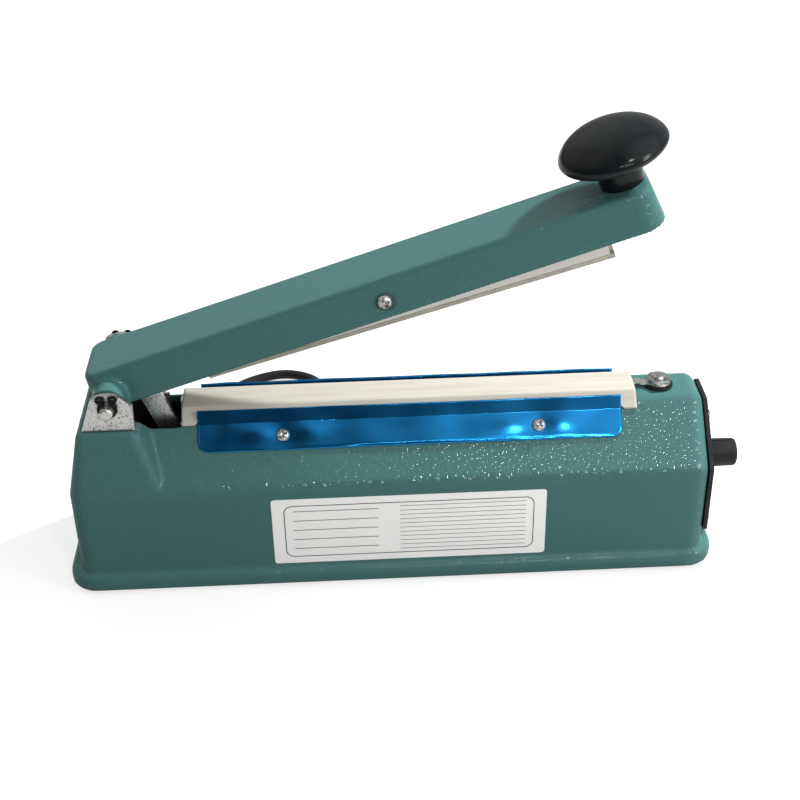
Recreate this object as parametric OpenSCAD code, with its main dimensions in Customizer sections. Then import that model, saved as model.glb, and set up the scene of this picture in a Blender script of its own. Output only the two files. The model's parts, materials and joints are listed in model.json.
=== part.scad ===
// Hand impulse sealer: a cast housing with a heated seal bar on its ridge, a hinged pressing arm
// with a round grip, a timer at one end and a mains lead at the back.
// In the modules x = 0 is the middle of the housing, the front is -Y and the table is z = 0.
// place() then centres the whole object, without its lead, on the origin.

/* [Housing] */
// Length of the bottom flange
flange_l = 304; // [302:1:308]
// Width of the bottom flange
flange_w = 79; // [78:0.5:82]
// Height of the flange's upper edge above the table
flange_top = 10.3; // [9.5:0.1:11]
// Gap between the flange and the table
foot_gap = 2.1; // [1.8:0.1:2.3]
// Length of the upright walls
body_l = 292; // [290:1:294]
// Width across the upright walls
body_w = 72.7; // [72:0.1:74]
// Height where the long walls start to slope inward
crease_z = 55.2; // [54:0.1:56]
// Height of the flat ridge
top_z = 80.1; // [79.8:0.1:80.4]
// Width of the flat ridge between its sharp edges
top_w = 20.1; // [19.5:0.1:20.5]
// Thickness of the cast walls
wall = 3; // [2.5:0.1:3.4]

/* [Hinge block] */
// Height of the ledge that the hinge ears pass through
ledge_z = 85; // [84.5:0.1:85.5]
// Width of the ledge
ledge_w = 63; // [62:0.5:65]
// Distance of the ledge's left edge from the end wall
ledge_inset = 7; // [6:0.5:8]
// Length of the ledge
ledge_l = 26.7; // [26:0.1:28]
// Length of the block at the crease
block_l = 44.2; // [43:0.1:46]
// Distance across the outside of the two ears
ear_span = 57; // [56:0.5:58]
// Thickness of the bracket steel
ear_t = 2.8; // [2.4:0.1:3]
// Diameter of the hinge pin
pin_d = 6; // [5:0.5:6]

/* [Arm] */
// Distance of the hinge pin from the left end wall
pivot_inset = 22.4; // [22:0.1:22.8]
// Height of the hinge pin
pivot_z = 96.3; // [96:0.1:97]
// Slope of the open arm
arm_open = 18.2; // [17.5:0.1:18.5]
// Reach of the arm from its base point to its round end
arm_reach = 257; // [255:1:258]
// Length of the arm behind its base point
arm_tail = 9; // [8:0.5:9.5]
// Width of the arm's top face
arm_top_w = 32; // [31:0.5:33]
// Width of the arm's open lower side
arm_foot_w = 36; // [35:0.5:37]
// Height of the arm's top face over its base point
arm_above = 14.8; // [14.5:0.1:15.5]
// Depth of the arm's lower rim below its base point
arm_below = 3.5; // [3:0.1:4]
// Diameter of the cast boss around the pin
boss_d = 15.8; // [15:0.2:16]

/* [Pressure bar] */
// Distance of the bar's pivot screw along the arm from its base point
bar_u = 132; // [130:0.5:134]
// Height of the bar's pivot screw over the arm's base line
bar_v = 4.5; // [4:0.1:5]
// Tilt of the bar against the arm
bar_tilt = 1.65; // [1.5:0.05:1.8]
// Length of the bar's holder
bar_l = 184.8; // [180:0.2:186]
// Distance of the holder's middle from the pivot screw
bar_mid = 6.2; // [4:0.1:7]
// Width of the bar's holder
bar_w = 14; // [12:0.5:15]
// Depth of the rubber's face below the pivot screw
bar_drop = 17.2; // [16.5:0.1:17.3]
// Width of the silicone rubber
rubber_w = 13.8; // [12:0.1:14]

/* [Seal bar] */
// Middle of the seal bar along the housing
seal_x = 9.9; // [9.5:0.1:10.5]
// Length of the cloth over the seal bar
cloth_l = 208.4; // [206:0.2:209]
// Length of each clamp strip
strip_l = 193.6; // [180:0.2:196]
// Distance between the two screws of a clamp strip
strip_pitch = 116.8; // [100:0.2:130]
// Thickness of the clamp strips
strip_t = 0.5; // [0.4:0.1:0.8]
// Width of the heating ribbon
ribbon_w = 4.5; // [2:0.5:6]
// Place of the right terminal along the housing
terminal_x = 126.5; // [125:0.5:127]

/* [Grip] */
// Diameter of the round grip
grip_d = 48; // [40:1:52]
// Height of the grip over the arm
grip_h = 28; // [24:1:32]
// Diameter of the grip's neck where it meets the arm
neck_d = 19.4; // [15:0.2:20]
// Distance of the grip along the arm
grip_u = 244; // [242:0.5:245]

/* [Timer end] */
// Diameter of the timer knob
timer_d = 14; // [13.6:0.1:16]
// Length of the timer knob
timer_l = 18.2; // [17:0.2:20]
// Height of the timer's axis
timer_z = 40; // [38:0.5:41]
// Height of the signal lamp
lamp_z = 62; // [61:0.5:63]
// Thickness of the end panel
panel_t = 2; // [1.5:0.1:2.5]

/* [Label] */
// Length of the blank label
label_l = 126; // [60:1:130]
// Height of the blank label
label_h = 36.5; // [20:0.5:38]
// Middle of the label along the housing
label_x = 7.8; // [0:0.1:10]
// Height of the label's lower edge
label_z = 12.4; // [12:0.1:14]

/* [Mains lead] */
// Diameter of the lead
cord_d = 5.2; // [5:0.1:5.2]
// Turns in each of the coil's two layers
coil_turns = 2.625; // [1.625, 2.125, 2.625]
// Radius of the coil's outermost turn
coil_out = 36; // [36:0.1:36]
// Step from one turn to the next
coil_step = 5.8; // [5.7:0.05:5.8]
// Step from the lower layer to the upper one
layer_step = 5.7; // [5.7:0.05:5.8]

/* [Hidden] */
$fn = 48;
// Facets of the rounded corners of the castings
corner_fn = 24;
eps = 0.01;
// Overshoot of the cutting tools
past = 1;
// Clearance of a plain hole on its screw's diameter
hole_fit = 0.2;
// Screw heads, as diameter and height
small_head = [5.6, 1.8];
large_head = [7.5, 2.6];
// Length and width of a crosshead slot, as shares of the head's diameter
slot_share = [0.6, 0.14];

// Colours
green = [0.30, 0.48, 0.46];
blue = [0.05, 0.45, 0.75];
black = [0.05, 0.05, 0.05];
steel = [0.72, 0.72, 0.70];
brass = [0.78, 0.62, 0.30];
cream = [0.90, 0.88, 0.82];
bakelite = [0.35, 0.20, 0.12];
copper = [0.72, 0.40, 0.20];

// Housing
end_x = body_l / 2;
edge_r = 7;
ridge_r = 6;
lean = atan2(top_z - crease_z, (body_w - top_w) / 2);
column_x = end_x - edge_r;
column_y = body_w / 2 - edge_r;
column_top = crease_z - edge_r * tan((90 - lean) / 2);
ridge_ends = [ledge_inset + ridge_r - end_x, end_x - ridge_r];
ridge_y = top_w / 2 - ridge_r * tan(lean / 2);
flange_r = 14;
flange_fillet = 3.6;
skirt_t = 4.5;
plate_t = 1.6;
plate_top = 4.1;
plate_fit = 0.3;
foot_x = 128;
foot_y = 27;
foot_d = 15;
foot_post_d = 13;
foot_post_h = 30;
foot_screw_d = 3;
foot_screw_l = 14;
foot_head = [6.6, 1.2];
foot_pocket_d = 7.4;
foot_seat = 1.3;
wall_foot_z = flange_top - 4;

// Hinge block and bracket
pivot_x = pivot_inset - end_x;
// The arm's base point, just below the hinge pin, that the arm and the ears are measured from
base_x = pivot_x - 0.9;
base_z = pivot_z - 3.5;
ledge_r = 4;
ledge_left = ledge_inset - end_x;
ledge_right = ledge_left + ledge_l;
block_right = block_l - end_x;
block_foot_z = crease_z - 2.5;
throat_left = ledge_left + 3;
throat_right = seal_x - cloth_l / 2 - 0.1;
throat_low_y = 13.6;
throat_high_y = 21.5;
ear_l = 23.6;
ear_left = base_x - 12;
ear_slant = 6.4;
ear_head_r = 12;
ear_head = [base_x + 0.9, base_z - 1.8];
web_z = 57.3;
web_l = 17.5;
lug_x = base_x - 2.5;
lug_y = 20;
lug_l = 10;
lug_h = 11;
lug_in = 16;
lug_out = body_w / 2 - wall + 0.6;
bracket_screw_d = 4;
bracket_screw_l = 11;
slot_fit = 0.1;
slot_low = web_z + 12;
throat_floor = web_z + 8;
throat_roof = ledge_z + 5;
pin_past = 5.5;
pin_bevel = 0.6;
clip_t = 0.8;
clip_d = 9;
clip_gap = 1.6;
clip_lug = [2.8, 4.9];
clip_lug_d = 4.2;
clip_hole_d = 1.4;
groove_d = pin_d - 1;
clip_y = ear_span / 2 + 0.25;

// Arm
arm_round_left = 8;
arm_round_right = 11;
arm_draft = (arm_foot_w - arm_top_w) / 2;
arm_fillet = 2.5;
channel_v = arm_above - 3.2;
channel_start = 3;
channel_end = arm_reach - 6;
channel_half_low = arm_foot_w / 2 - 3;
channel_draft = 2.2;
channel_half_high = channel_half_low - channel_draft;
boss_half = ear_span / 2 - ear_t - 0.5;
heel_x = 12.5;
heel_z = -3;
heel_r = 4;
pad_front = -5.2;
pad_rear = 12;
heel_front = 2;
heel_block = [7, 15, -7, 2];
pad_x = [5, 20];
arm_cap = 4;
arm_rim_h = 1;
tail_x = -2.5;
grip_boss_d = 14;
grip_boss_low = channel_v - 6;
grip_stud_d = 8;
grip_stud_in = 13;
grip_nut_af = 12;
grip_nut_h = 4;

// Lever strap, in x and z from the arm's base point
strap_t = 2.8;
strap_w = 10.2;
strap_lean = 0.3935;
strap_mid_x = 23;
strap_mid_z = -18.5;
strap_top_z = 11;
strap_knee_z = -19.5;
strap_end_z = -40;
hook_z = -35.8;
hook_hole_d = 3.6;
strap_screw_z = [3.6, 9.2];
strap_screw_d = 3;
strap_screw_l = 10;

// Pressure bar
bar_screw_d = 4;
bar_bore_d = bar_screw_d + slot_fit;
holder_h = 9.5;
rubber_out = 2.2;
rubber_past = 2.1;
rib_w = 6;
rib_h = 3;
rib_gap = 0.05;
lug_half = 4.5;
lug_r = 5.5;
lug_reach = 7;
bar_head = [7, 3.3];
bar_nut_af = 7;
bar_nut_h = 3.2;
bar_screw_past = 4.6;
spacer_d = 8;
spacer_gap = 0.3;

// Seal bar, as places across the ridge
bed_half = 7.3;
bed_h = 2.3;
bed_z = top_z + bed_h;
ribbon_t = 0.25;
cloth_t = 0.3;
cloth_z = bed_z + ribbon_t + 0.08;
hem_y = 12.9;
strip_top = [11.1, top_z + 2.4];
strip_bend_y = 14;
strip_low_y = 23.6;
strip_lift = 0.18;
strip_round = 5;
strip_cut = 4;
strip_screw_y = 18.5;
bed_left = seal_x - cloth_l / 2 + 0.2;
bed_right = seal_x + cloth_l / 2 - 1.5;
tab_t = 0.6;
tab_l = 9;
tab_d = 7;
clamp_screw_d = 3;
clamp_screw_l = 6;
clamp_head = [6.2, 2.2];

// Terminals
bush_d = 13.4;
bush_h = 1.2;
bush_shank_d = 10;
bush_shank_l = 5;
stud_d = 6;
stud_out = 5.2;
stud_head_h = 4;
nut_af = 10;
nut_h = 1.8;
washer_d = 11.5;
washer_t = 0.4;
drop_x = throat_right - 0.75;
drop_z = 66;
block_z = 63;
block_half = 7;
block_len = 11;
block_gap = 0.05;
block_screw_d = 3;
block_screw_l = 7;
block_stud_l = 5;
block_stud_x = throat_right + 6;

// Timer end
panel_x = end_x;
panel_low = 19.4;
panel_margin = 3.2;
knob_gap = 0.8;
shaft_d = 6;
pot_d = 17;
pot_l = 9;
pot_set = 2;
pot_tag = [8, 12, 1.2];
pot_tag_past = 3;
pot_tag_z = -6;
pot_bush_d = 7;
pot_bush_out = 2.2;
pot_nut_af = 9.5;
pot_nut_h = 2;
shaft_out = 16.5;
knob_recess_d = 11.7;
knob_recess_h = 2.4;
pointer_w = 0.9;
pointer_t = 0.5;
pointer_foot = 4;
lamp_r = 4;
lamp_l = 12;
window_half = 13.5;
window_fit = 0.5;
window_z = [26, lamp_z + lamp_r + window_fit];
panel_screw_d = 2.9;
panel_screw_l = 7;
panel_screw_yz = [[-27, 23], [27, 23], [-10, 68.5], [10, 68.5]];
knob_end = end_x + panel_t + knob_gap + timer_l;
x_shift = -(knob_end - flange_l / 2) / 2;

// Transformer, board and switch
core = [60, 30, 50];
core_x = 5;
core_leg = 20;
core_window = [10, 30];
core_z = plate_top + 0.5;
frame_t = 1.5;
frame_w = 20;
frame_foot = 13;
board = [56, 50, 1.6];
board_x = 84;
board_z = 12;
post_inset = 4;
post_d = 6;
board_screw_d = 3;
relay_at = [-16, -19];
relay_size = [20, 16, 16];
film_at = [-16, 8];
film_size = [26, 9, 10];
can_at = [15, -11];
can_d = 10;
can_h = 16;
resistor_at = [16, 2];
resistor_d = 2.6;
resistor_l = 7;
resistor_pitch = 5;
winding_r = 5;
winding_gap = 0.25;
frame_screw_d = 4;
switch_x = base_x + heel_x;
switch_y = (heel_front + pad_rear) / 2;
switch_size = [20, 10, 16];
switch_top = 78;
button_d = 5;
button_gap = 0.3;
switch_screw_d = 2.4;
switch_screw_l = switch_size[1] + frame_t;
switch_screw_x = 6.5;
switch_screw_z = switch_top - 11;
switch_head = [4.4, 1.6];
switch_tag = [0.8, 4.8, 7];
switch_tag_x = [1, 7];
switch_well = 12;
button_in = 7;
switch_foot_w = 11.5;
switch_foot_x = [ear_left + 2.5, ear_left + web_l - 0.5];

// Return spring
wire_d = 1.2;
spring_r = 3.6;
spring_turns = 14;
spring_y = pad_front - strap_t - 3;
spring_z = base_z + hook_z;
hook_x = base_x + strap_mid_x;
hook_r = 1.6;
hook_past = 2.4;
anchor_x = -52;
anchor_t = strap_t;
anchor_w = 10;
anchor_past = 5;
anchor_foot = 13;

// Label
label_t = 0.25;
label_r = 1.5;

// Mains lead, laid on the table in the frame's own x
gland_x = -92.5;
gland_z = 22;
gland_end = 66;
gland_shank_r = 5;
gland_lip = 0.6;
gland_head_r = 6.8;
gland_tip_r = 3.6;
gland_core_r = 3.5;
gland_groove = 1.4;
gland_pitch = 4;
gland_grooves = 5;
coil_mid = [-3, 88];
coil_z = 3.6;
coil_tail = 12;
// Route of the lead's free stretch from the gland to the coil
route = [
  [-100, 66, 22], [-100, 75, 21.8], [-100, 85, 19], [-100, 95, 13], [-100, 105, 6.6],
  [-100, 115, 3.2], [-98, 124, 2.7], [-93.5, 132.5, 2.7], [-86.5, 140, 2.7],
  [-77, 145.8, 2.7], [-66, 149.2, 2.7], [-56, 147.8, 2.7], [-47.5, 142.6, 2.7],
  [-42, 134.5, 2.7], [-39.5, 125, 2.7], [-39, 114, 2.9], [-39, 103, 3.4], [-39, 93.2, 3.6]
];
tie_t = 0.7;
tie_w = 8;
plug_l = 32;
plug_w = 22;
plug_r = 5;
plug_sleeve = 22;
plug_sleeve_r = [3.9, 6.2];
plug_h = 2 * (coil_z + layer_step);
blade = [17, 1.5, 6.3];
blade_pitch = 12.7;
blade_in = 6;

// Height of the sloping long wall at a distance from the middle
function slope_z(y) = top_z - (y - top_w / 2) * tan(lean);

// Distance of a rounding's centre from the sharp edge of a level top and a leaning wall
function corner_inset(r, tilt) = r * tan((90 - tilt) / 2);

function unit(v) = v / norm(v);

// Direction of a path at one of its points
function heading(path, i) =
  unit(path[min(i + 1, len(path) - 1)] - path[max(i - 1, 0)]);

// Side directions of a tube's rings, each carried on from the ring before so that the tube never twists
function carried(path, side, i = 0) =
  i == len(path) ? [] :
  let (t = heading(path, i), s = unit(side - (side * t) * t))
  concat([s], carried(path, s, i + 1));

// One ring of a tube, square to the path
function ring(path, i, r, sides, side) =
  let (rise = cross(side, heading(path, i)))
  [for (k = [0:sides - 1]) path[i] + r * (cos(360 * k / sides) * side + sin(360 * k / sides) * rise)];

// Triangles that close a tube of n rings
function tube_faces(n, sides) = concat(
  [for (k = [1:sides - 2]) [0, k, k + 1]],
  [for (i = [0:n - 2], k = [0:sides - 1]) [i * sides + k, (i + 1) * sides + k, i * sides + (k + 1) % sides]],
  [for (i = [0:n - 2], k = [0:sides - 1])
    [i * sides + (k + 1) % sides, (i + 1) * sides + k, (i + 1) * sides + (k + 1) % sides]],
  [for (k = [1:sides - 2]) [(n - 1) * sides, (n - 1) * sides + k + 1, (n - 1) * sides + k]]
);

// Least distance between stretches of a path that lie at least a given number of points apart
function least_gap(path, apart, d) =
  min([for (i = [0:len(path) - 1 - apart], j = [i + apart:len(path) - 1]) norm(path[i] - path[j])]) - d;

// Coil: it spirals in on the lower layer, climbs, and spirals out on the upper one
coil_sweep = 360 * coil_turns;
coil_ring = 15;
function coil_radius(a) = coil_out - coil_step * (coil_sweep - abs(coil_sweep - a)) / 360;
function climb(a) = min(1, max(0, (a - coil_sweep + 90) / 180));
function coil_point(a) = [
  coil_mid[0] + coil_radius(a) * cos(180 + a),
  coil_mid[1] + coil_radius(a) * sin(180 + a),
  coil_z + layer_step * (1 - cos(180 * climb(a))) / 2
];
coil_path = concat(
  [[coil_mid[0] - coil_out, coil_mid[1] + cord_d, coil_z]],
  [for (a = [0:coil_ring:2 * coil_sweep]) coil_point(a)],
  [for (s = [0.5, 1]) [coil_mid[0] + coil_tail * s, coil_mid[1] - coil_out, coil_z + layer_step]]
);

// Return spring: turns about a line along x, with a straight leg and a bent hook at each end
spring_start = hook_x + 5.5;
spring_end = anchor_x - 5.5;
spring_sweep = 360 * spring_turns;
spring_ring = 45;
function spring_grow(a) = min(1, a / 180, (spring_sweep - a) / 180);
hook_end = [
  [0, pad_front + hook_past, spring_z], [0, pad_front - strap_t / 2, spring_z],
  [0, spring_y + hook_r, spring_z], [hook_r * 0.3, spring_y + hook_r * 0.3, spring_z],
  [hook_r, spring_y, spring_z]
];
function hook_at(p, x, way) = [x + way * p[0], p[1], p[2]];
spring_path = concat(
  [for (p = hook_end) hook_at(p, hook_x, 1)],
  [for (a = [0:spring_ring:spring_sweep]) [
    spring_start + (spring_end - spring_start) * a / spring_sweep,
    spring_y - spring_r * spring_grow(a) * cos(a),
    spring_z + spring_r * spring_grow(a) * sin(a)
  ]],
  [for (i = [len(hook_end) - 1:-1:0]) hook_at(hook_end[i], anchor_x, -1)]
);

echo(cord_coil_gap = least_gap(coil_path, 12, cord_d));
echo(return_spring_gap = least_gap(spring_path, 5, wire_d));

// Shared shapes

module place() {
  translate([x_shift, 0, 0]) children();
}

// Frame on the hinge pin, with z along the pin towards the front
module on_pivot() {
  translate([pivot_x, 0, pivot_z]) rotate([90, 0, 0]) children();
}

// Frame of the open arm: x along the arm from its base point, z square to its top
module arm_frame() {
  translate([base_x, 0, base_z]) rotate([0, -arm_open, 0]) children();
}

// Frame of the pressure bar: origin on its pivot screw
module bar_frame() {
  arm_frame() translate([bar_u, 0, bar_v]) rotate([0, bar_tilt, 0]) children();
}

// Frame on the rear sloping wall: y runs down the slope and z stands square to it
module on_slope(x, y) {
  translate([x, y, slope_z(y)]) rotate([-lean, 0, 0]) children();
}

// Extrusion along x of an outline in y and z
module along_x(l) {
  rotate([90, 0, 90]) linear_extrude(l) children();
}

// Extrusion along y, about y = 0, of an outline in x and z
module along_y(l) {
  rotate([90, 0, 0]) linear_extrude(l, center = true) children();
}

module block(low, high) {
  translate(low) cube(high - low);
}

module rounded_rect(l, w, r) {
  square([l, w - 2 * r], center = true);
  square([l - 2 * r, w], center = true);
  for (sx = [-1, 1], sy = [-1, 1])
    translate([sx * (l / 2 - r), sy * (w / 2 - r)]) circle(r);
}

// Disc with a rounded upper edge
module puck(r, h, fillet) {
  rotate_extrude($fn = corner_fn) {
    square([r, h - fillet]);
    square([r - fillet, h]);
    translate([r - fillet, h - fillet]) circle(fillet, $fn = corner_fn);
  }
}

// Tube along a path, with the side direction of its first ring
module tube(path, r, sides, side) {
  side_of = carried(path, side);
  polyhedron(
    points = [for (i = [0:len(path) - 1]) each ring(path, i, r, sides, side_of[i])],
    faces = tube_faces(len(path), sides)
  );
}

// Crosshead screw with its head up, seated at z = 0
module pan_screw(d, l, head) {
  difference() {
    union() {
      translate([0, 0, -l]) cylinder(d = d, h = l + eps);
      cylinder(d = head[0], h = head[1]);
    }
    for (turn = [0, 90])
      rotate(turn) translate([0, 0, head[1]]) cube(concat(head[0] * slot_share, head[1]), center = true);
  }
}

module hex_nut(af, h, bore) {
  difference() {
    cylinder(d = af / cos(30), h = h, $fn = 6);
    translate([0, 0, -eps]) cylinder(d = bore, h = h + 2 * eps);
  }
}

// Housing and base

// Rounded outer form of the main casting, shrunk by cut on every side; its ridge starts in the hinge block
module casting_form(cut, low) {
  hull()
    for (sy = [-1, 1]) {
      for (sx = [-1, 1]) {
        translate([sx * column_x, sy * column_y, low])
          cylinder(r = edge_r - cut, h = column_top - low, $fn = corner_fn);
        translate([sx * column_x, sy * column_y, column_top]) sphere(edge_r - cut, $fn = corner_fn);
      }
      for (x = ridge_ends)
        translate([x, sy * ridge_y, top_z - ridge_r]) sphere(ridge_r - cut, $fn = corner_fn);
    }
}

// Rounded outer form of the hinge block, shrunk by cut on every side
module block_form(cut) {
  rise = ledge_z - crease_z;
  front_lean = atan2((body_w - ledge_w) / 2, rise);
  left_lean = atan2(ledge_inset, rise);
  right_lean = atan2(block_right - ledge_right, rise);
  ledge_y = ledge_w / 2 - corner_inset(ledge_r, front_lean);
  hull()
    for (sy = [-1, 1]) {
      translate([-column_x, sy * column_y, column_top]) sphere(edge_r - cut, $fn = corner_fn);
      translate([block_right - ledge_r, sy * (body_w / 2 - ledge_r), block_foot_z])
        sphere(ledge_r - cut, $fn = corner_fn);
      translate([ledge_left + corner_inset(ledge_r, left_lean), sy * ledge_y, ledge_z - ledge_r])
        sphere(ledge_r - cut, $fn = corner_fn);
      translate([ledge_right - corner_inset(ledge_r, right_lean), sy * ledge_y, ledge_z - ledge_r])
        sphere(ledge_r - cut, $fn = corner_fn);
    }
}

module flange_form() {
  hull()
    for (sx = [-1, 1], sy = [-1, 1])
      translate([sx * (flange_l / 2 - flange_r), sy * (flange_w / 2 - flange_r), foot_gap])
        puck(flange_r, flange_top - foot_gap, flange_fillet);
}

// Opening in the hinge block for the arm's lever
module throat() {
  translate([throat_left, 0, 0])
    along_x(throat_right - throat_left)
      polygon([
        [-throat_low_y, throat_floor], [throat_low_y, throat_floor],
        [throat_low_y, slope_z(throat_low_y)], [throat_high_y, ledge_z], [throat_high_y, throat_roof],
        [-throat_high_y, throat_roof], [-throat_high_y, ledge_z], [-throat_low_y, slope_z(throat_low_y)]
      ]);
}

module at_feet() {
  for (sx = [-1, 1], sy = [-1, 1])
    translate([sx * foot_x, sy * foot_y, 0]) children();
}

module at_clamp_screws() {
  for (side = [0, 1], sx = [-1, 1])
    mirror([0, side, 0]) on_slope(seal_x + sx * strip_pitch / 2, strip_screw_y) children();
}

module at_panel_screws() {
  for (p = panel_screw_yz)
    translate([panel_x, p[0], p[1]]) rotate([0, 90, 0]) children();
}

// Round hole down through the ridge
module ridge_hole(x, d) {
  translate([x, 0, top_z - 2 * wall]) cylinder(d = d, h = 2 * wall + past);
}

module housing() {
  color(green) difference() {
    union() {
      difference() {
        union() {
          flange_form();
          casting_form(0, wall_foot_z);
          block_form(0);
        }
        casting_form(wall, -past);
        block_form(wall);
        translate([0, 0, -past])
          linear_extrude(plate_top + past)
            rounded_rect(flange_l - 2 * skirt_t, flange_w - 2 * skirt_t, flange_r - skirt_t);
      }
      at_feet() translate([0, 0, plate_top]) cylinder(d = foot_post_d, h = foot_post_h);
      for (side = [0, 1])
        mirror([0, side, 0])
          block([lug_x - lug_l / 2, lug_in, web_z - lug_h], [lug_x + lug_l / 2, lug_out, web_z]);
    }
    throat();
    for (sy = [-1, 1])
      translate([ear_left - slot_fit, sy * (ear_span - ear_t) / 2 - ear_t / 2 - slot_fit, slot_low])
        cube([ear_l + 2 * slot_fit, ear_t + 2 * slot_fit, ledge_z - web_z]);
    at_feet() translate([0, 0, plate_top - eps]) cylinder(d = foot_screw_d, h = foot_screw_l);
    for (sy = [-1, 1])
      translate([lug_x, sy * lug_y, web_z - lug_h + past]) cylinder(d = bracket_screw_d, h = lug_h);
    at_clamp_screws() translate([0, 0, -clamp_screw_l])
      cylinder(d = clamp_screw_d + hole_fit, h = clamp_screw_l + past);
    ridge_hole(terminal_x, bush_shank_d);
    ridge_hole(block_stud_x, block_screw_d + hole_fit);
    block([end_x - 2 * wall, -window_half, window_z[0]], [end_x + past, window_half, window_z[1]]);
    at_panel_screws() translate([0, 0, -panel_screw_l])
      cylinder(d = panel_screw_d, h = panel_screw_l + past);
    translate([gland_x, body_w / 2 - wall - past, gland_z]) rotate([-90, 0, 0])
      cylinder(d = 2 * gland_shank_r, h = wall + 2 * past);
  }
}

module base_plate() {
  edge = skirt_t + plate_fit;
  color(steel) difference() {
    translate([0, 0, plate_top - plate_t])
      linear_extrude(plate_t)
        rounded_rect(flange_l - 2 * edge, flange_w - 2 * edge, flange_r - edge);
    at_feet() cylinder(d = foot_screw_d + hole_fit, h = plate_top + past);
  }
}

module rubber_feet() {
  color(black) at_feet() difference() {
    cylinder(d = foot_d, h = plate_top - plate_t);
    translate([0, 0, -past]) cylinder(d = foot_screw_d + hole_fit, h = plate_top);
    translate([0, 0, -past]) cylinder(d = foot_pocket_d, h = foot_seat + past);
  }
}

module foot_screws() {
  color(steel) at_feet() translate([0, 0, foot_seat]) rotate([180, 0, 0])
    pan_screw(foot_screw_d, foot_screw_l, foot_head);
}

// Hinge

// Side view of one ear, from the web up to its arched head, with a slanting left edge above the ledge
module ear_outline() {
  right = ear_left + ear_l;
  top = ear_head[1] + ear_head_r;
  difference() {
    intersection() {
      polygon([
        [ear_left, web_z], [right, web_z], [right, top], [ear_left + ear_slant, top], [ear_left, ledge_z]
      ]);
      union() {
        translate([ear_left, web_z]) square([ear_l, ear_head[1] - web_z]);
        translate(ear_head) circle(ear_head_r);
      }
    }
    translate([pivot_x, pivot_z]) circle(d = pin_d);
  }
}

module hinge_bracket() {
  color(steel) difference() {
    union() {
      for (sy = [-1, 1])
        translate([0, sy * (ear_span - ear_t) / 2, 0]) along_y(ear_t) ear_outline();
      block([ear_left, -ear_span / 2, web_z], [ear_left + web_l, ear_span / 2, web_z + ear_t]);
    }
    for (sy = [-1, 1])
      translate([lug_x, sy * lug_y, web_z - past])
        cylinder(d = bracket_screw_d + hole_fit, h = ear_t + 2 * past);
  }
}

module bracket_screws() {
  color(steel) {
    translate([lug_x, -lug_y, web_z + ear_t])
      pan_screw(bracket_screw_d, bracket_screw_l, large_head);
    translate([lug_x, lug_y, web_z + ear_t + frame_t])
      pan_screw(bracket_screw_d, bracket_screw_l + frame_t, large_head);
  }
}

module hinge_pin() {
  half = ear_span / 2 + pin_past;
  r = pin_d / 2;
  color(steel) on_pivot() difference() {
    rotate_extrude()
      polygon([
        [0, -half], [r - pin_bevel, -half], [r, pin_bevel - half], [r, half - pin_bevel],
        [r - pin_bevel, half], [0, half]
      ]);
    for (sy = [-1, 1])
      translate([0, 0, sy * (clip_y + clip_t / 2)]) difference() {
        cylinder(d = pin_d + past, h = clip_t + slot_fit, center = true);
        cylinder(d = groove_d, h = clip_t + past, center = true);
      }
  }
}

// The two lugs of a snap ring, either side of its gap
module at_clip_lugs() {
  for (sx = [-1, 1])
    translate([sx * clip_lug[0], clip_lug[1]]) children();
}

module pin_clips() {
  color([0.25, 0.25, 0.25])
    for (sy = [-1, 1])
      translate([pivot_x, sy * (clip_y + clip_t / 2), pivot_z]) along_y(clip_t) difference() {
        union() {
          circle(d = clip_d);
          at_clip_lugs() circle(d = clip_lug_d);
        }
        circle(d = groove_d);
        at_clip_lugs() circle(d = clip_hole_d);
        translate([-clip_gap / 2, 0]) square([clip_gap, clip_d]);
      }
}

// Seal bar

module seal_bed() {
  color(bakelite) block([bed_left, -bed_half, top_z], [bed_right, bed_half, bed_z]);
}

module heating_ribbon() {
  tab_x = terminal_x - tab_l;
  ribbon_end = tab_x + tab_t;
  color(brass) {
    block([drop_x, -ribbon_w / 2, bed_z], [ribbon_end, ribbon_w / 2, bed_z + ribbon_t]);
    block([drop_x, -ribbon_w / 2, drop_z + 2], [drop_x + ribbon_t, ribbon_w / 2, bed_z + ribbon_t]);
    block([tab_x, -ribbon_w / 2, top_z + bush_h], [ribbon_end, ribbon_w / 2, bed_z + ribbon_t]);
    translate([0, 0, top_z + bush_h]) linear_extrude(tab_t) difference() {
      union() {
        translate([terminal_x, 0]) circle(d = nut_af);
        translate([tab_x, -ribbon_w / 2]) square([tab_l, ribbon_w]);
      }
      translate([terminal_x, 0]) circle(d = stud_d + hole_fit);
    }
    translate([drop_x, 0, drop_z]) rotate([0, 90, 0]) difference() {
      cylinder(d = tab_d, h = tab_t);
      translate([0, 0, -past]) cylinder(d = block_screw_d + hole_fit, h = tab_t + 2 * past);
    }
  }
}

// Outline of the cloth's half across the ridge, from the middle to its hem
cloth_under = [
  [0, cloth_z], [ribbon_w / 2 + 0.4, cloth_z], [bed_half + 0.4, bed_z + 0.02],
  [hem_y, slope_z(hem_y) + 0.1]
];
cloth_over = [for (p = cloth_under) p + [p[0] > bed_half ? cloth_t * 0.9 : 0, cloth_t]];
cloth_last = len(cloth_under) - 1;
function across(p) = [-p[0], p[1]];

module teflon_cloth() {
  color(cream) translate([seal_x - cloth_l / 2, 0, 0]) along_x(cloth_l)
    polygon(concat(
      [for (i = [cloth_last:-1:1]) across(cloth_over[i])],
      cloth_over,
      [for (i = [cloth_last:-1:0]) cloth_under[i]],
      [for (i = [1:cloth_last]) across(cloth_under[i])]
    ));
}

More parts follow.
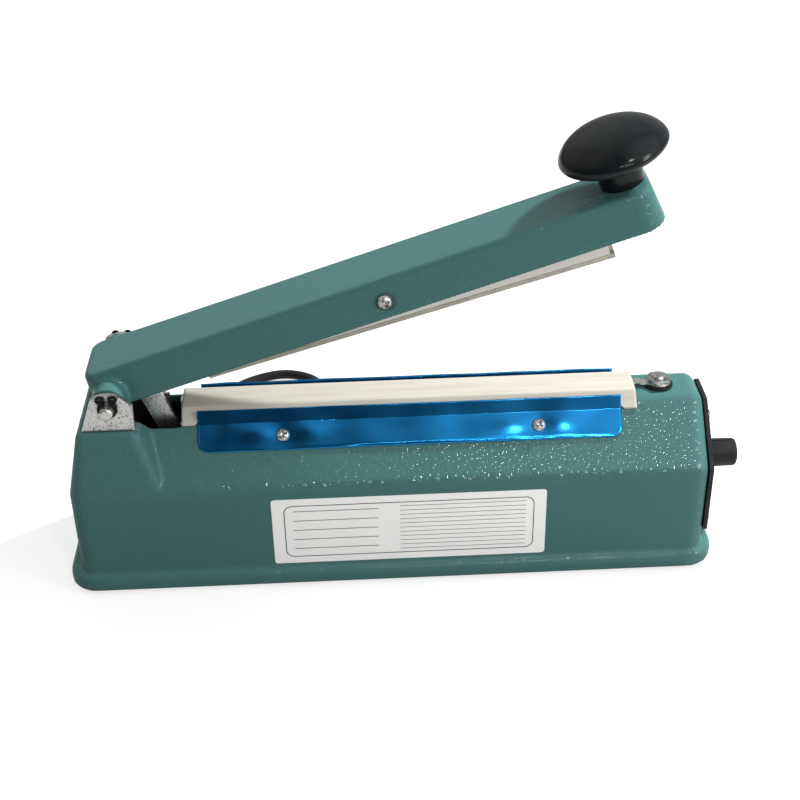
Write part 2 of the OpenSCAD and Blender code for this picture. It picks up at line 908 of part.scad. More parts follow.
// Bent profile of the rear clamp strip: a lip that holds the cloth, then a skirt along the slope
strip_rise = strip_lift / cos(lean);
strip_bend = [strip_bend_y, slope_z(strip_bend_y) + strip_rise];
strip_low = [strip_low_y, slope_z(strip_low_y) + strip_rise];
lip_out = out_of(unit(strip_bend - strip_top));
skirt_out = out_of(unit(strip_low - strip_bend));
function out_of(way) = [-way[1], way[0]];

module clamp_strip() {
  difference() {
    translate([seal_x - strip_l / 2, 0, 0]) along_x(strip_l)
      polygon([
        strip_top, strip_bend, strip_low, strip_low + strip_t * skirt_out,
        strip_bend + strip_t * (lip_out + skirt_out) / (1 + lip_out * skirt_out),
        strip_top + strip_t * lip_out
      ]);
    for (side = [0, 1])
      on_slope(seal_x, strip_low_y) mirror([side, 0, 0])
        translate([strip_l / 2 - strip_round, -strip_round, -past]) linear_extrude(strip_cut) difference() {
          square(strip_round + past);
          circle(strip_round);
        }
    for (sx = [-1, 1])
      on_slope(seal_x + sx * strip_pitch / 2, strip_screw_y)
        cylinder(d = clamp_screw_d + hole_fit, h = strip_cut);
  }
}

module front_clamp_strip() {
  color(blue) mirror([0, 1, 0]) clamp_strip();
}

module rear_clamp_strip() {
  color(blue) clamp_strip();
}

module clamp_screws() {
  color(steel) at_clamp_screws() translate([0, 0, strip_lift + strip_t])
    pan_screw(clamp_screw_d, clamp_screw_l, clamp_head);
}

// Terminals

module terminal_bush() {
  color(black) translate([terminal_x, 0, 0]) difference() {
    union() {
      translate([0, 0, top_z]) cylinder(d = bush_d, h = bush_h);
      translate([0, 0, top_z - bush_shank_l]) cylinder(d = bush_shank_d, h = bush_shank_l + eps);
    }
    translate([0, 0, top_z - 2 * bush_shank_l]) cylinder(d = stud_d, h = 4 * bush_shank_l);
  }
}

module terminal_stud() {
  color(steel) translate([terminal_x, 0, 0]) {
    translate([0, 0, top_z - bush_shank_l]) cylinder(d = stud_d, h = bush_shank_l + stud_out);
    translate([0, 0, top_z - bush_shank_l - stud_head_h])
      cylinder(d = nut_af / cos(30), h = stud_head_h, $fn = 6);
  }
}

module terminal_nut() {
  washer_z = top_z + bush_h + tab_t;
  color(steel) translate([terminal_x, 0, 0]) {
    translate([0, 0, washer_z]) difference() {
      cylinder(d = washer_d, h = washer_t);
      translate([0, 0, -past]) cylinder(d = stud_d, h = washer_t + 2 * past);
    }
    translate([0, 0, washer_z + washer_t]) hex_nut(nut_af, nut_h, stud_d);
  }
}

module terminal_block() {
  low_x = drop_x + tab_t;
  color(black) difference() {
    block([low_x, -block_half, block_z], [low_x + block_len, block_half, top_z - wall - block_gap]);
    translate([low_x - past, 0, drop_z]) rotate([0, 90, 0])
      cylinder(d = block_screw_d, h = block_screw_l + past);
    translate([block_stud_x, 0, top_z - wall - block_stud_l - past])
      cylinder(d = block_screw_d, h = block_stud_l + 2 * past);
  }
}

module block_screws() {
  color(steel) {
    translate([drop_x, 0, drop_z]) rotate([0, -90, 0])
      pan_screw(block_screw_d, block_screw_l, small_head);
    translate([block_stud_x, 0, top_z - wall - block_stud_l])
      cylinder(d = block_screw_d, h = block_stud_l + wall - hole_fit);
  }
}

// Timer end

// Outline of the end panel in y and z, inside the housing's end wall
module panel_outline() {
  half = body_w / 2 - panel_margin;
  knee = crease_z - panel_margin * tan((90 - lean) / 2);
  high = top_z - panel_margin;
  high_half = top_w / 2 - panel_margin * tan(lean / 2);
  polygon([
    [-half, panel_low], [half, panel_low], [half, knee], [high_half, high], [-high_half, high], [-half, knee]
  ]);
}

module panel_hole(z, d) {
  translate([panel_x - past, 0, z]) rotate([0, 90, 0]) cylinder(d = d, h = panel_t + 2 * past);
}

module timer_panel() {
  color(black) difference() {
    translate([panel_x, 0, 0]) along_x(panel_t) panel_outline();
    panel_hole(timer_z, pot_bush_d);
    panel_hole(lamp_z, 2 * lamp_r);
    at_panel_screws() translate([0, 0, -past])
      cylinder(d = panel_screw_d + hole_fit, h = panel_t + 2 * past);
  }
}

module panel_screws() {
  color(steel) at_panel_screws() translate([0, 0, panel_t])
    pan_screw(panel_screw_d, panel_screw_l, small_head);
}

module potentiometer() {
  color([0.45, 0.45, 0.48]) translate([panel_x, 0, timer_z]) rotate([0, 90, 0]) difference() {
    union() {
      translate([0, 0, -pot_l - pot_set]) cylinder(d = pot_d, h = pot_l);
      translate([0, 0, -pot_set - eps]) cylinder(d = pot_bush_d, h = pot_set + panel_t + pot_bush_out);
      translate([-pot_tag_past - pot_d / 2, -pot_tag[1] / 2, pot_tag_z]) cube(pot_tag);
    }
    translate([0, 0, -pot_l]) cylinder(d = shaft_d + slot_fit, h = 2 * pot_l);
  }
}

module pot_nut() {
  color(steel) translate([panel_x + panel_t, 0, timer_z]) rotate([0, 90, 0])
    hex_nut(pot_nut_af, pot_nut_h, pot_bush_d);
}

module pot_shaft() {
  inner = pot_l - 0.5;
  color(steel) translate([panel_x - inner, 0, timer_z]) rotate([0, 90, 0])
    cylinder(d = shaft_d, h = inner + shaft_out);
}

module timer_knob() {
  r = timer_d / 2;
  bore = shaft_out - panel_t - knob_gap;
  color(black) translate([panel_x + panel_t + knob_gap, 0, timer_z]) rotate([0, 90, 0]) difference() {
    rotate_extrude()
      polygon([
        [0, 0], [r, 0], [r - 0.3, timer_l - 1.4], [r - 0.7, timer_l - 0.4], [r - 1.6, timer_l], [0, timer_l]
      ]);
    translate([0, 0, -past]) cylinder(d = knob_recess_d, h = knob_recess_h + past);
    translate([0, 0, -past]) cylinder(d = shaft_d, h = bore + past);
    translate([-r - past, -pointer_w / 2, timer_l - pointer_t]) cube([r, pointer_w, pointer_t + past]);
    translate([-r - past, -pointer_w / 2, pointer_foot]) cube([pointer_t + past, pointer_w, timer_l]);
  }
}

module signal_lamp() {
  color([0.75, 0.08, 0.06]) translate([panel_x + panel_t, 0, lamp_z]) rotate([0, 90, 0]) {
    rotate_extrude()
      polygon([
        [0, -lamp_l], [lamp_r, -lamp_l], [lamp_r, 0], [lamp_r + 1, 0], [lamp_r + 1, 1],
        [lamp_r * 0.9, 2.4], [lamp_r * 0.45, 3.2], [0, 3.4]
      ]);
  }
}

// Electrical parts inside

module at_board_posts() {
  for (sx = [-1, 1], sy = [-1, 1])
    translate([board_x + sx * (board[0] / 2 - post_inset), sy * (board[1] / 2 - post_inset), 0]) children();
}

module circuit_board() {
  color([0.12, 0.35, 0.18]) difference() {
    translate([board_x - board[0] / 2, -board[1] / 2, board_z]) cube(board);
    at_board_posts() cylinder(d = board_screw_d + hole_fit, h = board_z + board[2] + past);
  }
}

module board_standoffs() {
  color(steel) at_board_posts() {
    translate([0, 0, plate_top]) cylinder(d = post_d, h = board_z - plate_top);
    translate([0, 0, board_z + board[2]]) pan_screw(board_screw_d, board[2] + eps, small_head);
  }
}

// Top of the circuit board at a place on it
module on_board(p) {
  translate([board_x + p[0], p[1], board_z + board[2]]) children();
}

module relay() {
  color([0.15, 0.30, 0.60]) on_board(relay_at) cube(relay_size);
}

module board_components() {
  color([0.20, 0.20, 0.22]) {
    on_board(can_at) cylinder(d = can_d, h = can_h);
    on_board(film_at) cube(film_size);
    for (i = [0:2])
      on_board(resistor_at + [0, resistor_pitch * i]) translate([0, 0, resistor_d / 2]) rotate([0, 90, 0])
        cylinder(d = resistor_d, h = resistor_l, center = true);
  }
}

module transformer_core() {
  color([0.30, 0.30, 0.32]) translate([core_x, 0, core_z]) difference() {
    block([-core[0] / 2, -core[1] / 2, 0], [core[0] / 2, core[1] / 2, core[2]]);
    for (sx = [-1, 1])
      translate([sx * (core_leg + core_window[0]) / 2, 0, core[2] / 2])
        cube([core_window[0], core[1] + past, core_window[1]], center = true);
  }
}

module transformer_winding() {
  slack = 2 * winding_gap;
  wide = 2 * core_window[0] - slack;
  color(copper) translate([core_x, 0, core_z + (core[2] - core_window[1]) / 2 + winding_gap])
    linear_extrude(core_window[1] - slack) difference() {
      rounded_rect(core_leg + wide, core[1] + wide, winding_r);
      square([core_leg + slack, core[1] + slack], center = true);
    }
}

module at_frame_screws() {
  for (sx = [-1, 1])
    translate([core_x + sx * (core[0] / 2 + frame_t + frame_foot / 2), 0, plate_top]) children();
}

module transformer_frame() {
  half = core[0] / 2;
  high = core_z + core[2] - plate_top;
  color(steel) difference() {
    translate([core_x, 0, plate_top]) along_y(frame_w) difference() {
      union() {
        translate([-half - frame_t, 0]) square([2 * (half + frame_t), high + frame_t]);
        translate([-half - frame_t - frame_foot, 0]) square([2 * (half + frame_t + frame_foot), frame_t]);
      }
      translate([-half, -past]) square([2 * half, high + past]);
    }
    at_frame_screws() translate([0, 0, -past])
      cylinder(d = frame_screw_d + hole_fit, h = frame_t + 2 * past);
  }
}

module frame_screws() {
  color(steel) at_frame_screws() translate([0, 0, frame_t]) pan_screw(frame_screw_d, frame_t, large_head);
}

// Front face of the switch at each of its two screws, with z out of the face
module at_switch_screws() {
  for (sx = [-1, 1])
    translate([switch_x + sx * switch_screw_x, switch_y - switch_size[1] / 2, switch_screw_z])
      rotate([90, 0, 0]) children();
}

module switch_screw_holes() {
  at_switch_screws() translate([0, 0, -switch_screw_l - past])
    cylinder(d = switch_screw_d + slot_fit, h = switch_screw_l + 2 * past);
}

module micro_switch() {
  low = [switch_x - switch_size[0] / 2, switch_y - switch_size[1] / 2, switch_top - switch_size[2]];
  color([0.20, 0.05, 0.05]) difference() {
    union() {
      translate(low) cube(switch_size);
      for (x = switch_tag_x)
        translate([switch_x + x, switch_y - switch_tag[1] / 2, low[2] + eps - switch_tag[2]])
          cube(switch_tag);
    }
    translate([switch_x, switch_y, switch_top - switch_well])
      cylinder(d = button_d + slot_fit, h = switch_well + past);
    switch_screw_holes();
  }
}

module switch_button() {
  tip = base_z + heel_z - heel_r - button_gap;
  foot = switch_top - button_in;
  color(black) translate([switch_x, switch_y, foot]) cylinder(d = button_d, h = tip - foot);
}

module switch_bracket() {
  back_y = switch_y + switch_size[1] / 2 + slot_fit;
  floor_z = web_z + ear_t;
  switch_right = switch_x + switch_size[0] / 2;
  color(steel) difference() {
    union() {
      block(
        [switch_foot_x[0], back_y, floor_z],
        [switch_foot_x[1], back_y + switch_foot_w, floor_z + frame_t]
      );
      block([switch_foot_x[0], back_y, floor_z], [switch_right, back_y + frame_t, switch_top]);
    }
    translate([lug_x, lug_y, floor_z - past])
      cylinder(d = bracket_screw_d + hole_fit, h = frame_t + 2 * past);
    switch_screw_holes();
  }
}

module switch_screws() {
  color(steel) at_switch_screws() pan_screw(switch_screw_d, switch_screw_l, switch_head);
}

module spring_anchor() {
  front_y = pad_front - strap_t;
  left_x = anchor_x - anchor_w / 2;
  right_x = anchor_x + anchor_w / 2;
  color(steel) difference() {
    union() {
      block([left_x, front_y, plate_top], [right_x, front_y + anchor_t, spring_z + anchor_past]);
      block([left_x, front_y - anchor_foot, plate_top], [right_x, front_y + anchor_t, plate_top + anchor_t]);
    }
    translate([anchor_x, front_y - past, spring_z]) rotate([-90, 0, 0])
      cylinder(d = hook_hole_d, h = anchor_t + 2 * past);
  }
}

module return_spring() {
  color(steel) tube(spring_path, wire_d / 2, 6, [0, 0, 1]);
}

// Label

module rating_label() {
  color("white") translate([label_x, -body_w / 2, label_z + label_h / 2]) rotate([90, 0, 0])
    linear_extrude(label_t) rounded_rect(label_l, label_h, label_r);
}

// Mains lead

module cord_gland() {
  out_y = gland_end - body_w / 2;
  color(black) translate([gland_x, body_w / 2, gland_z]) rotate([-90, 0, 0]) difference() {
    rotate_extrude()
      polygon([
        [0, -wall - 1.5], [gland_shank_r + gland_lip, -wall - 1.5], [gland_shank_r + gland_lip, -wall],
        [gland_shank_r, -wall], [gland_shank_r, 0], [gland_head_r, 0], [gland_head_r, 2.4],
        [gland_shank_r + 0.2, 2.8], [gland_tip_r, out_y], [0, out_y]
      ]);
    for (i = [1:gland_grooves])
      translate([0, 0, 2 + gland_pitch * i]) difference() {
        cylinder(r = gland_head_r, h = gland_groove);
        translate([0, 0, -past]) cylinder(r = gland_core_r, h = gland_groove + 2 * past);
      }
  }
}

module mains_cord() {
  color(black) tube(route, cord_d / 2, 10, [1, 0, 0]);
}

module cord_coil() {
  color(black) tube(coil_path, cord_d / 2, 6, [1, 0, 0]);
}

module cord_tie() {
  low_x = coil_mid[0] + coil_radius(coil_sweep) - cord_d / 2 - 1.2;
  high_x = coil_mid[0] + coil_out - 0.2;
  high_z = coil_z + layer_step + cord_d / 2 + 0.6;
  low_z = coil_z - cord_d / 2 - 0.2;
  color([0.15, 0.15, 0.15]) translate([0, coil_mid[1], 0]) along_y(tie_w) difference() {
    translate([low_x, low_z]) offset(delta = tie_t) square([high_x - low_x, high_z - low_z]);
    translate([low_x, low_z]) square([high_x - low_x, high_z - low_z]);
  }
}

// Frame on the plug: x runs out of the coil's end towards the pins
module plug_frame() {
  translate([coil_mid[0] + coil_tail, coil_mid[1] - coil_out, plug_h / 2]) children();
}

module plug_body() {
  color(black) plug_frame() difference() {
    union() {
      rotate([0, 90, 0]) cylinder(r1 = plug_sleeve_r[0], r2 = plug_sleeve_r[1], h = plug_sleeve + eps);
      translate([plug_sleeve, 0, 0]) along_x(plug_l) rounded_rect(plug_w, plug_h, plug_r);
    }
    plug_blades();
  }
}

// The two blades, from inside the plug's body to their tips
module plug_blades() {
  for (sy = [-1, 1])
    translate([plug_sleeve + plug_l - blade_in, sy * blade_pitch / 2 - blade[1] / 2, -blade[2] / 2])
      cube([blade_in + blade[0], blade[1], blade[2]]);
}

module plug_pins() {
  color(brass) plug_frame() plug_blades();
}

// Arm

module arm_form() {
  left = arm_round_left - arm_tail;
  right = arm_reach - arm_round_right;
  hull()
    for (sy = [-1, 1]) {
      translate([left, sy * (arm_foot_w / 2 - arm_round_left), -arm_below])
        cylinder(r = arm_round_left, h = arm_rim_h, $fn = corner_fn);
      translate([right, sy * (arm_foot_w / 2 - arm_round_right), -arm_below])
        cylinder(r = arm_round_right, h = arm_rim_h, $fn = corner_fn);
      translate([left, sy * (arm_foot_w / 2 - arm_round_left), arm_above - arm_cap])
        puck(arm_round_left - arm_draft, arm_cap, arm_fillet);
      translate([right, sy * (arm_foot_w / 2 - arm_round_right), arm_above - arm_cap])
        puck(arm_round_right - arm_draft, arm_cap, arm_fillet);
    }
}

module at_strap_screws() {
  for (z = strap_screw_z)
    translate([base_x + strap_mid_x - strap_lean * (z - strap_mid_z), pad_front, base_z + z])
      rotate([90, 0, 0]) children();
}

module arm_casting() {
  color(green) difference() {
    union() {
      arm_frame() difference() {
        arm_form();
        translate([channel_start, 0, 0])
          along_x(channel_end - channel_start)
            polygon([
              [-channel_half_low, -arm_below - past], [channel_half_low, -arm_below - past],
              [channel_half_high, channel_v], [-channel_half_high, channel_v]
            ]);
        along_y(arm_foot_w + past)
          polygon([
            [-2 * arm_tail, arm_tail], [1 - arm_tail, arm_tail], [tail_x, -arm_below],
            [tail_x, -arm_below - past], [-2 * arm_tail, -arm_below - past]
          ]);
      }
      on_pivot() cylinder(d = boss_d, h = 2 * boss_half, center = true);
      arm_frame() block([pad_x[0], pad_front, 1 - arm_below], [pad_x[1], pad_rear, channel_v + past]);
      translate([base_x + heel_x, (heel_front + pad_rear) / 2, base_z + heel_z]) rotate([90, 0, 0])
        cylinder(r = heel_r, h = pad_rear - heel_front, center = true);
      arm_frame() block([heel_block[0], heel_front, heel_block[2]], [heel_block[1], pad_rear, heel_block[3]]);
      arm_frame() translate([grip_u, 0, grip_boss_low])
        cylinder(d = grip_boss_d, h = arm_above - grip_boss_low - past);
    }
    on_pivot() cylinder(d = pin_d + slot_fit, h = ear_span, center = true);
    arm_frame() translate([bar_u, 0, bar_v]) rotate([90, 0, 0])
      cylinder(d = bar_screw_d + hole_fit, h = arm_foot_w + past, center = true);
    for (side = [0, 1])
      mirror([0, side, 0]) arm_frame() translate([bar_u, recess_y, bar_v]) rotate([-90, 0, 0])
        cylinder(d = recess_d, h = arm_foot_w / 2);
    arm_frame() translate([grip_u, 0, 0]) cylinder(d = grip_stud_d, h = arm_above + past);
    at_strap_screws() translate([0, 0, -strap_screw_l]) cylinder(d = strap_screw_d, h = strap_screw_l + past);
  }
}

// Side view of the lever strap
module strap_outline() {
  half = strap_w / 2;
  top_x = strap_mid_x - strap_lean * (strap_top_z - strap_mid_z);
  knee_x = strap_mid_x - strap_lean * (strap_knee_z - strap_mid_z);
  polygon([
    [top_x - half, strap_top_z], [top_x + half - 1, strap_top_z + 2], [knee_x + half, strap_knee_z],
    [knee_x + half, strap_end_z], [knee_x - half + 1.5, strap_end_z], [knee_x - half, strap_end_z + 2],
    [knee_x - half, strap_knee_z]
  ]);
}

module lever_strap() {
  color(steel) difference() {
    translate([base_x, pad_front - strap_t / 2, base_z]) along_y(strap_t) difference() {
      strap_outline();
      translate([strap_mid_x, hook_z]) circle(d = hook_hole_d);
    }
    at_strap_screws() translate([0, 0, -past]) cylinder(d = strap_screw_d + hole_fit, h = strap_t + 2 * past);
  }
}

module strap_screws() {
  color(steel) at_strap_screws() translate([0, 0, strap_t])
    pan_screw(strap_screw_d, strap_screw_l, small_head);
}

module grip_knob() {
  rim = grip_d / 2;
  neck = neck_d / 2;
  color(black) arm_frame() translate([grip_u, 0, arm_above]) difference() {
    rotate_extrude()
      polygon([
        [0, 0], [neck, 0], [neck * 1.02, 3], [neck * 1.06, 6.5], [neck * 1.165, 9], [rim * 0.62, 10.8],
        [rim * 0.84, 12.2], [rim * 0.95, 13.6], [rim, 15.6], [rim * 0.985, 17.6], [rim * 0.92, 20],
        [rim * 0.8, grip_h - 5.2], [rim * 0.62, grip_h - 2.8], [rim * 0.4, grip_h - 1.1],
        [rim * 0.2, grip_h - 0.3], [0, grip_h]
      ]);
    translate([0, 0, -past]) cylinder(d = grip_stud_d, h = grip_stud_in + 2 * past);
  }
}

module grip_stud() {
  color(steel) arm_frame() translate([grip_u, 0, grip_boss_low]) {
    cylinder(d = grip_stud_d, h = arm_above + grip_stud_in - grip_boss_low);
    translate([0, 0, -grip_nut_h]) cylinder(d = grip_nut_af / cos(30), h = grip_nut_h, $fn = 6);
  }
}

// Distance of the arm's outer side face from its middle at the height of the bar's screw
arm_half_at_screw = arm_foot_w / 2 - arm_draft * (bar_v + arm_below) / (arm_above + arm_below);
// Round recess in each side face that seats the bar's screw and its nut
recess_d = 9;
recess_y = arm_half_at_screw - 0.9;

module bar_pivot_screw() {
  color(steel) arm_frame() translate([bar_u, -recess_y, bar_v]) rotate([90, 0, 0])
    pan_screw(bar_screw_d, 2 * recess_y + bar_screw_past, bar_head);
}

module bar_pivot_nut() {
  color(steel) arm_frame() translate([bar_u, recess_y, bar_v]) rotate([-90, 0, 0])
    hex_nut(bar_nut_af, bar_nut_h, bar_screw_d);
}

module bar_spacers() {
  channel_half = channel_half_low - channel_draft * (bar_v + arm_below) / (channel_v + arm_below + past);
  outer = channel_half - 2 * spacer_gap;
  inner = lug_half + spacer_gap;
  color(steel) arm_frame() translate([bar_u, 0, bar_v])
    for (sy = [-1, 1])
      translate([0, sy * (outer + inner) / 2, 0]) rotate([90, 0, 0]) difference() {
        cylinder(d = spacer_d, h = outer - inner, center = true);
        cylinder(d = bar_bore_d, h = outer, center = true);
      }
}

module bar_holder() {
  low = rubber_out - bar_drop;
  color(cream) bar_frame() difference() {
    union() {
      translate([bar_mid - bar_l / 2, 0, 0]) along_x(bar_l) difference() {
        translate([-bar_w / 2, low]) square([bar_w, holder_h]);
        translate([-rib_w / 2 - rib_gap, low - past]) square([rib_w + 2 * rib_gap, rib_h + rib_gap + past]);
      }
      block([-lug_reach, -lug_half, low + holder_h - past], [lug_reach, lug_half, 0]);
      rotate([90, 0, 0]) cylinder(r = lug_r, h = 2 * lug_half, center = true);
    }
    rotate([90, 0, 0]) cylinder(d = bar_bore_d, h = bar_w + past, center = true);
  }
}

// Rubber pad under the holder, with a rib that sits in the holder's groove
module silicone_strip() {
  pad_l = bar_l + 2 * rubber_past;
  color([0.55, 0.55, 0.55]) bar_frame() translate([bar_mid - pad_l / 2, 0, -bar_drop]) along_x(pad_l) {
    translate([-rubber_w / 2, 0]) square([rubber_w, rubber_out]);
    translate([-rib_w / 2, 0]) square([rib_w, rubber_out + rib_h]);
  }
}

place() housing();
place() base_plate();
place() rubber_feet();
place() foot_screws();
place() hinge_bracket();
place() bracket_screws();
place() hinge_pin();
place() pin_clips();
place() seal_bed();
place() heating_ribbon();
place() teflon_cloth();
place() front_clamp_strip();
place() rear_clamp_strip();
place() clamp_screws();
place() terminal_bush();
place() terminal_stud();
place() terminal_nut();
place() terminal_block();
place() block_screws();
place() timer_panel();
place() panel_screws();
place() potentiometer();
place() pot_nut();
place() signal_lamp();
place() circuit_board();
place() board_standoffs();
place() relay();
place() board_components();
place() transformer_core();
place() transformer_winding();
place() transformer_frame();
place() frame_screws();
place() micro_switch();
place() switch_bracket();
place() switch_screws();
place() spring_anchor();
place() return_spring();
place() rating_label();
place() cord_gland();
mains_cord();
cord_coil();
cord_tie();
plug_body();
plug_pins();
place() arm_casting();
place() lever_strap();
place() strap_screws();
place() grip_knob();
place() grip_stud();
place() bar_pivot_screw();
place() bar_pivot_nut();
place() bar_spacers();
place() bar_holder();
place() silicone_strip();
place() switch_button();
place() timer_knob();
place() pot_shaft();
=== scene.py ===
"""Looks of the hand impulse sealer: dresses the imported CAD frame, piece by piece."""

import json
import math

import bmesh
import bpy
from mathutils import Matrix, Vector, noise


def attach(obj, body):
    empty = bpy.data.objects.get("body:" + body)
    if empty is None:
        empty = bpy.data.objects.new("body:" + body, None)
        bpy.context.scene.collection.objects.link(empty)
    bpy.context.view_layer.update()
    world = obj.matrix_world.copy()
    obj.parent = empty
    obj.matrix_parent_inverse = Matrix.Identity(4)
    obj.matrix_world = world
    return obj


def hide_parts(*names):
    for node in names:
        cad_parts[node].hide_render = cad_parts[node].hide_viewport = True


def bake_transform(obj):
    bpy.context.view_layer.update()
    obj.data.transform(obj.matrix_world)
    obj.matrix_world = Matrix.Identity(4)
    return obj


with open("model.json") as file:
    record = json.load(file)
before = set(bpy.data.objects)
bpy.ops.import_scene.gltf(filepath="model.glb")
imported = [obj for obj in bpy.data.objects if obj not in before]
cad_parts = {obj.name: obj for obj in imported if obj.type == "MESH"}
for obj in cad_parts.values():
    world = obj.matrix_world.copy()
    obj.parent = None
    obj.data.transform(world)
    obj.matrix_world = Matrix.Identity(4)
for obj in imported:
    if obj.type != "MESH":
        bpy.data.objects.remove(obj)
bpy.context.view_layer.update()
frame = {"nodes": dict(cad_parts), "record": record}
nodes = frame["nodes"]
slot_of = {part["node"]: part["material_slot"] for part in frame["record"]["subparts"]}
scene = bpy.context.scene
scene.view_settings.view_transform = "Standard"

# Sizes below are in millimetres in the frame's own axes; MM turns them into Blender's metres
MM = 0.001


def metres(*point):
    return Vector(point) * MM


# Shared places, as in the CAD model
ARM_BASE = metres(-132.0, 0.0, 92.8)
ARM_OPEN = math.radians(18.2)
BAR_ON_ARM = metres(132.0, 0.0, 4.5)
BAR_SIDE = 16.226
RIDGE_TOP = 80.1
RIDGE_HALF = 10.05
CREASE_Z = 55.2
CREASE_HALF = 36.35
SLOPE = math.atan2(RIDGE_TOP - CREASE_Z, CREASE_HALF - RIDGE_HALF)
STRIP_X = (-94.4, 99.2)
STRIP_SCREW_X = (-56.0, 60.8)
STRIP_SCREW_Y = 18.5
TERMINAL_X = 119.0
PANEL_X = 140.5

arm_frame = Matrix.Translation(ARM_BASE) @ Matrix.Rotation(-ARM_OPEN, 4, "Y")


def slope_height(y):
    return RIDGE_TOP - (y - RIDGE_HALF) * math.tan(SLOPE)


def on_slope(x, y, side):
    """Frame on the sloping wall, with z square to it; side is -1 at the front and 1 at the back."""
    turn = Matrix.Rotation(-side * SLOPE, 4, "X")
    return Matrix.Translation(metres(x, side * y, slope_height(y))) @ turn


# Camera, fitted to the photograph
CAMERA_AT = (-0.02125, -0.54877, 0.42662)
CAMERA_YAW = 0.03578
CAMERA_PITCH = 0.56781
CAMERA_ROLL = -0.02000
CAMERA_LENS = 62.924
CAMERA_SHIFT = (-0.00022, 0.00127)


def make_camera():
    forward = Vector((
        math.sin(CAMERA_YAW) * math.cos(CAMERA_PITCH),
        math.cos(CAMERA_YAW) * math.cos(CAMERA_PITCH),
        -math.sin(CAMERA_PITCH),
    ))
    level = Vector((math.cos(CAMERA_YAW), -math.sin(CAMERA_YAW), 0.0))
    rise = level.cross(forward)
    right = math.cos(CAMERA_ROLL) * level + math.sin(CAMERA_ROLL) * rise
    up = right.cross(forward)
    turn = Matrix((right, up, -forward)).transposed().to_4x4()
    lens = bpy.data.cameras.new("camera")
    lens.lens = CAMERA_LENS
    lens.sensor_width = 36.0
    lens.shift_x, lens.shift_y = CAMERA_SHIFT
    lens.clip_start = 0.02
    camera = bpy.data.objects.new("camera", lens)
    camera.matrix_world = Matrix.Translation(CAMERA_AT) @ turn
    scene.collection.objects.link(camera)
    scene.camera = camera


# Materials


def math_node(tree, operation, first, second):
    """Result of a Math node on two sockets or numbers."""
    node = tree.nodes.new("ShaderNodeMath")
    node.operation = operation
    for socket, value in zip(node.inputs, (first, second)):
        if isinstance(value, bpy.types.NodeSocket):
            tree.links.new(value, socket)
        else:
            socket.default_value = value
    return node.outputs[0]


class Finish:
    """A material on one Principled shader, with short calls for the textures that feed it."""

    def __init__(self, name, **sockets):
        self.material = bpy.data.materials.new(name)
        self.material.use_nodes = True
        self.tree = self.material.node_tree
        self.shader = self.tree.nodes["Principled BSDF"]
        self.place = self.node("ShaderNodeTexCoord").outputs["Object"]
        for socket, value in sockets.items():
            self.feed(self.shader, socket, value)

    def feed(self, node, socket, value):
        target = node.inputs[socket.replace("_", " ")]
        if isinstance(value, bpy.types.NodeSocket):
            self.tree.links.new(value, target)
        else:
            target.default_value = value

    def node(self, kind, **inputs):
        node = self.tree.nodes.new(kind)
        for socket, value in inputs.items():
            self.feed(node, socket, value)
        return node

    def stretched(self, x, y, z):
        return self.node("ShaderNodeMapping", Vector=self.place, Scale=(x, y, z)).outputs[0]

    def grain(self, size, detail=2.0, place=None):
        """Soft noise whose lumps are about size millimetres across."""
        place = place or self.place
        return self.node("ShaderNodeTexNoise", Vector=place, Scale=1 / (size * MM), Detail=detail).outputs[0]

    def cells(self, size, output="Distance"):
        """Cells about size millimetres across."""
        return self.node("ShaderNodeTexVoronoi", Vector=self.place, Scale=1 / (size * MM)).outputs[output]

    def math(self, operation, first, second):
        return math_node(self.tree, operation, first, second)

    def ramp(self, factor, *stops):
        """Colours along a factor, as (place, colour) stops."""
        node = self.node("ShaderNodeValToRGB", Fac=factor)
        elements = node.color_ramp.elements
        while len(elements) < len(stops):
            elements.new(1.0)
        for element, (place, colour) in zip(elements, stops):
            element.position = place
            element.color = (*colour, 1.0)
        return node.outputs["Color"]

    def spread(self, factor, low, high):
        """The factor stretched over the range from low to high."""
        return self.node("ShaderNodeMapRange", Value=factor, To_Min=low, To_Max=high).outputs[0]

    def bump(self, height, depth, strength=1.0, over=None):
        """Surface relief of a depth in millimetres, over another relief if there is one."""
        node = self.node("ShaderNodeBump", Height=height, Distance=depth * MM, Strength=strength)
        if over is not None:
            self.feed(node, "Normal", over)
        return node.outputs[0]


def srgb(red, green, blue):
    """Linear colour of an sRGB colour given from 0 to 255."""
    return tuple(
        (c / 255 / 12.92) if c <= 10 else ((c / 255 + 0.055) / 1.055) ** 2.4 for c in (red, green, blue)
    )


def green_paint():
    """Sprayed paint: thin on upright walls, wet enough on what faces up to set in gleaming dimples."""
    paint = Finish("green_paint", Specular_IOR_Level=0.12, Coat_Roughness=0.10)
    paint.feed(paint.shader, "Base_Color", paint.ramp(
        paint.grain(1.4, 3.0), (0.3, srgb(62, 104, 101)), (0.7, srgb(67, 110, 107))))
    facing = paint.node("ShaderNodeTexCoord").outputs["Normal"]
    upward = paint.node("ShaderNodeSeparateXYZ", Vector=facing).outputs["Z"]
    wet = paint.node("ShaderNodeMapRange", Value=upward, From_Min=0.2, From_Max=0.5,
                     To_Min=0.2, To_Max=0.45)
    paint.feed(paint.shader, "Coat_Weight", wet.outputs[0])
    paint.feed(paint.shader, "Roughness", paint.spread(paint.grain(0.8), 0.5, 0.62))
    skin = paint.bump(paint.grain(0.6, 3.0), 0.02, 0.5)
    paint.feed(paint.shader, "Normal", skin)
    cell = paint.cells(2.0)
    paint.feed(paint.shader, "Coat_Normal", paint.bump(paint.math("MULTIPLY", cell, cell), 0.24))
    return paint.material


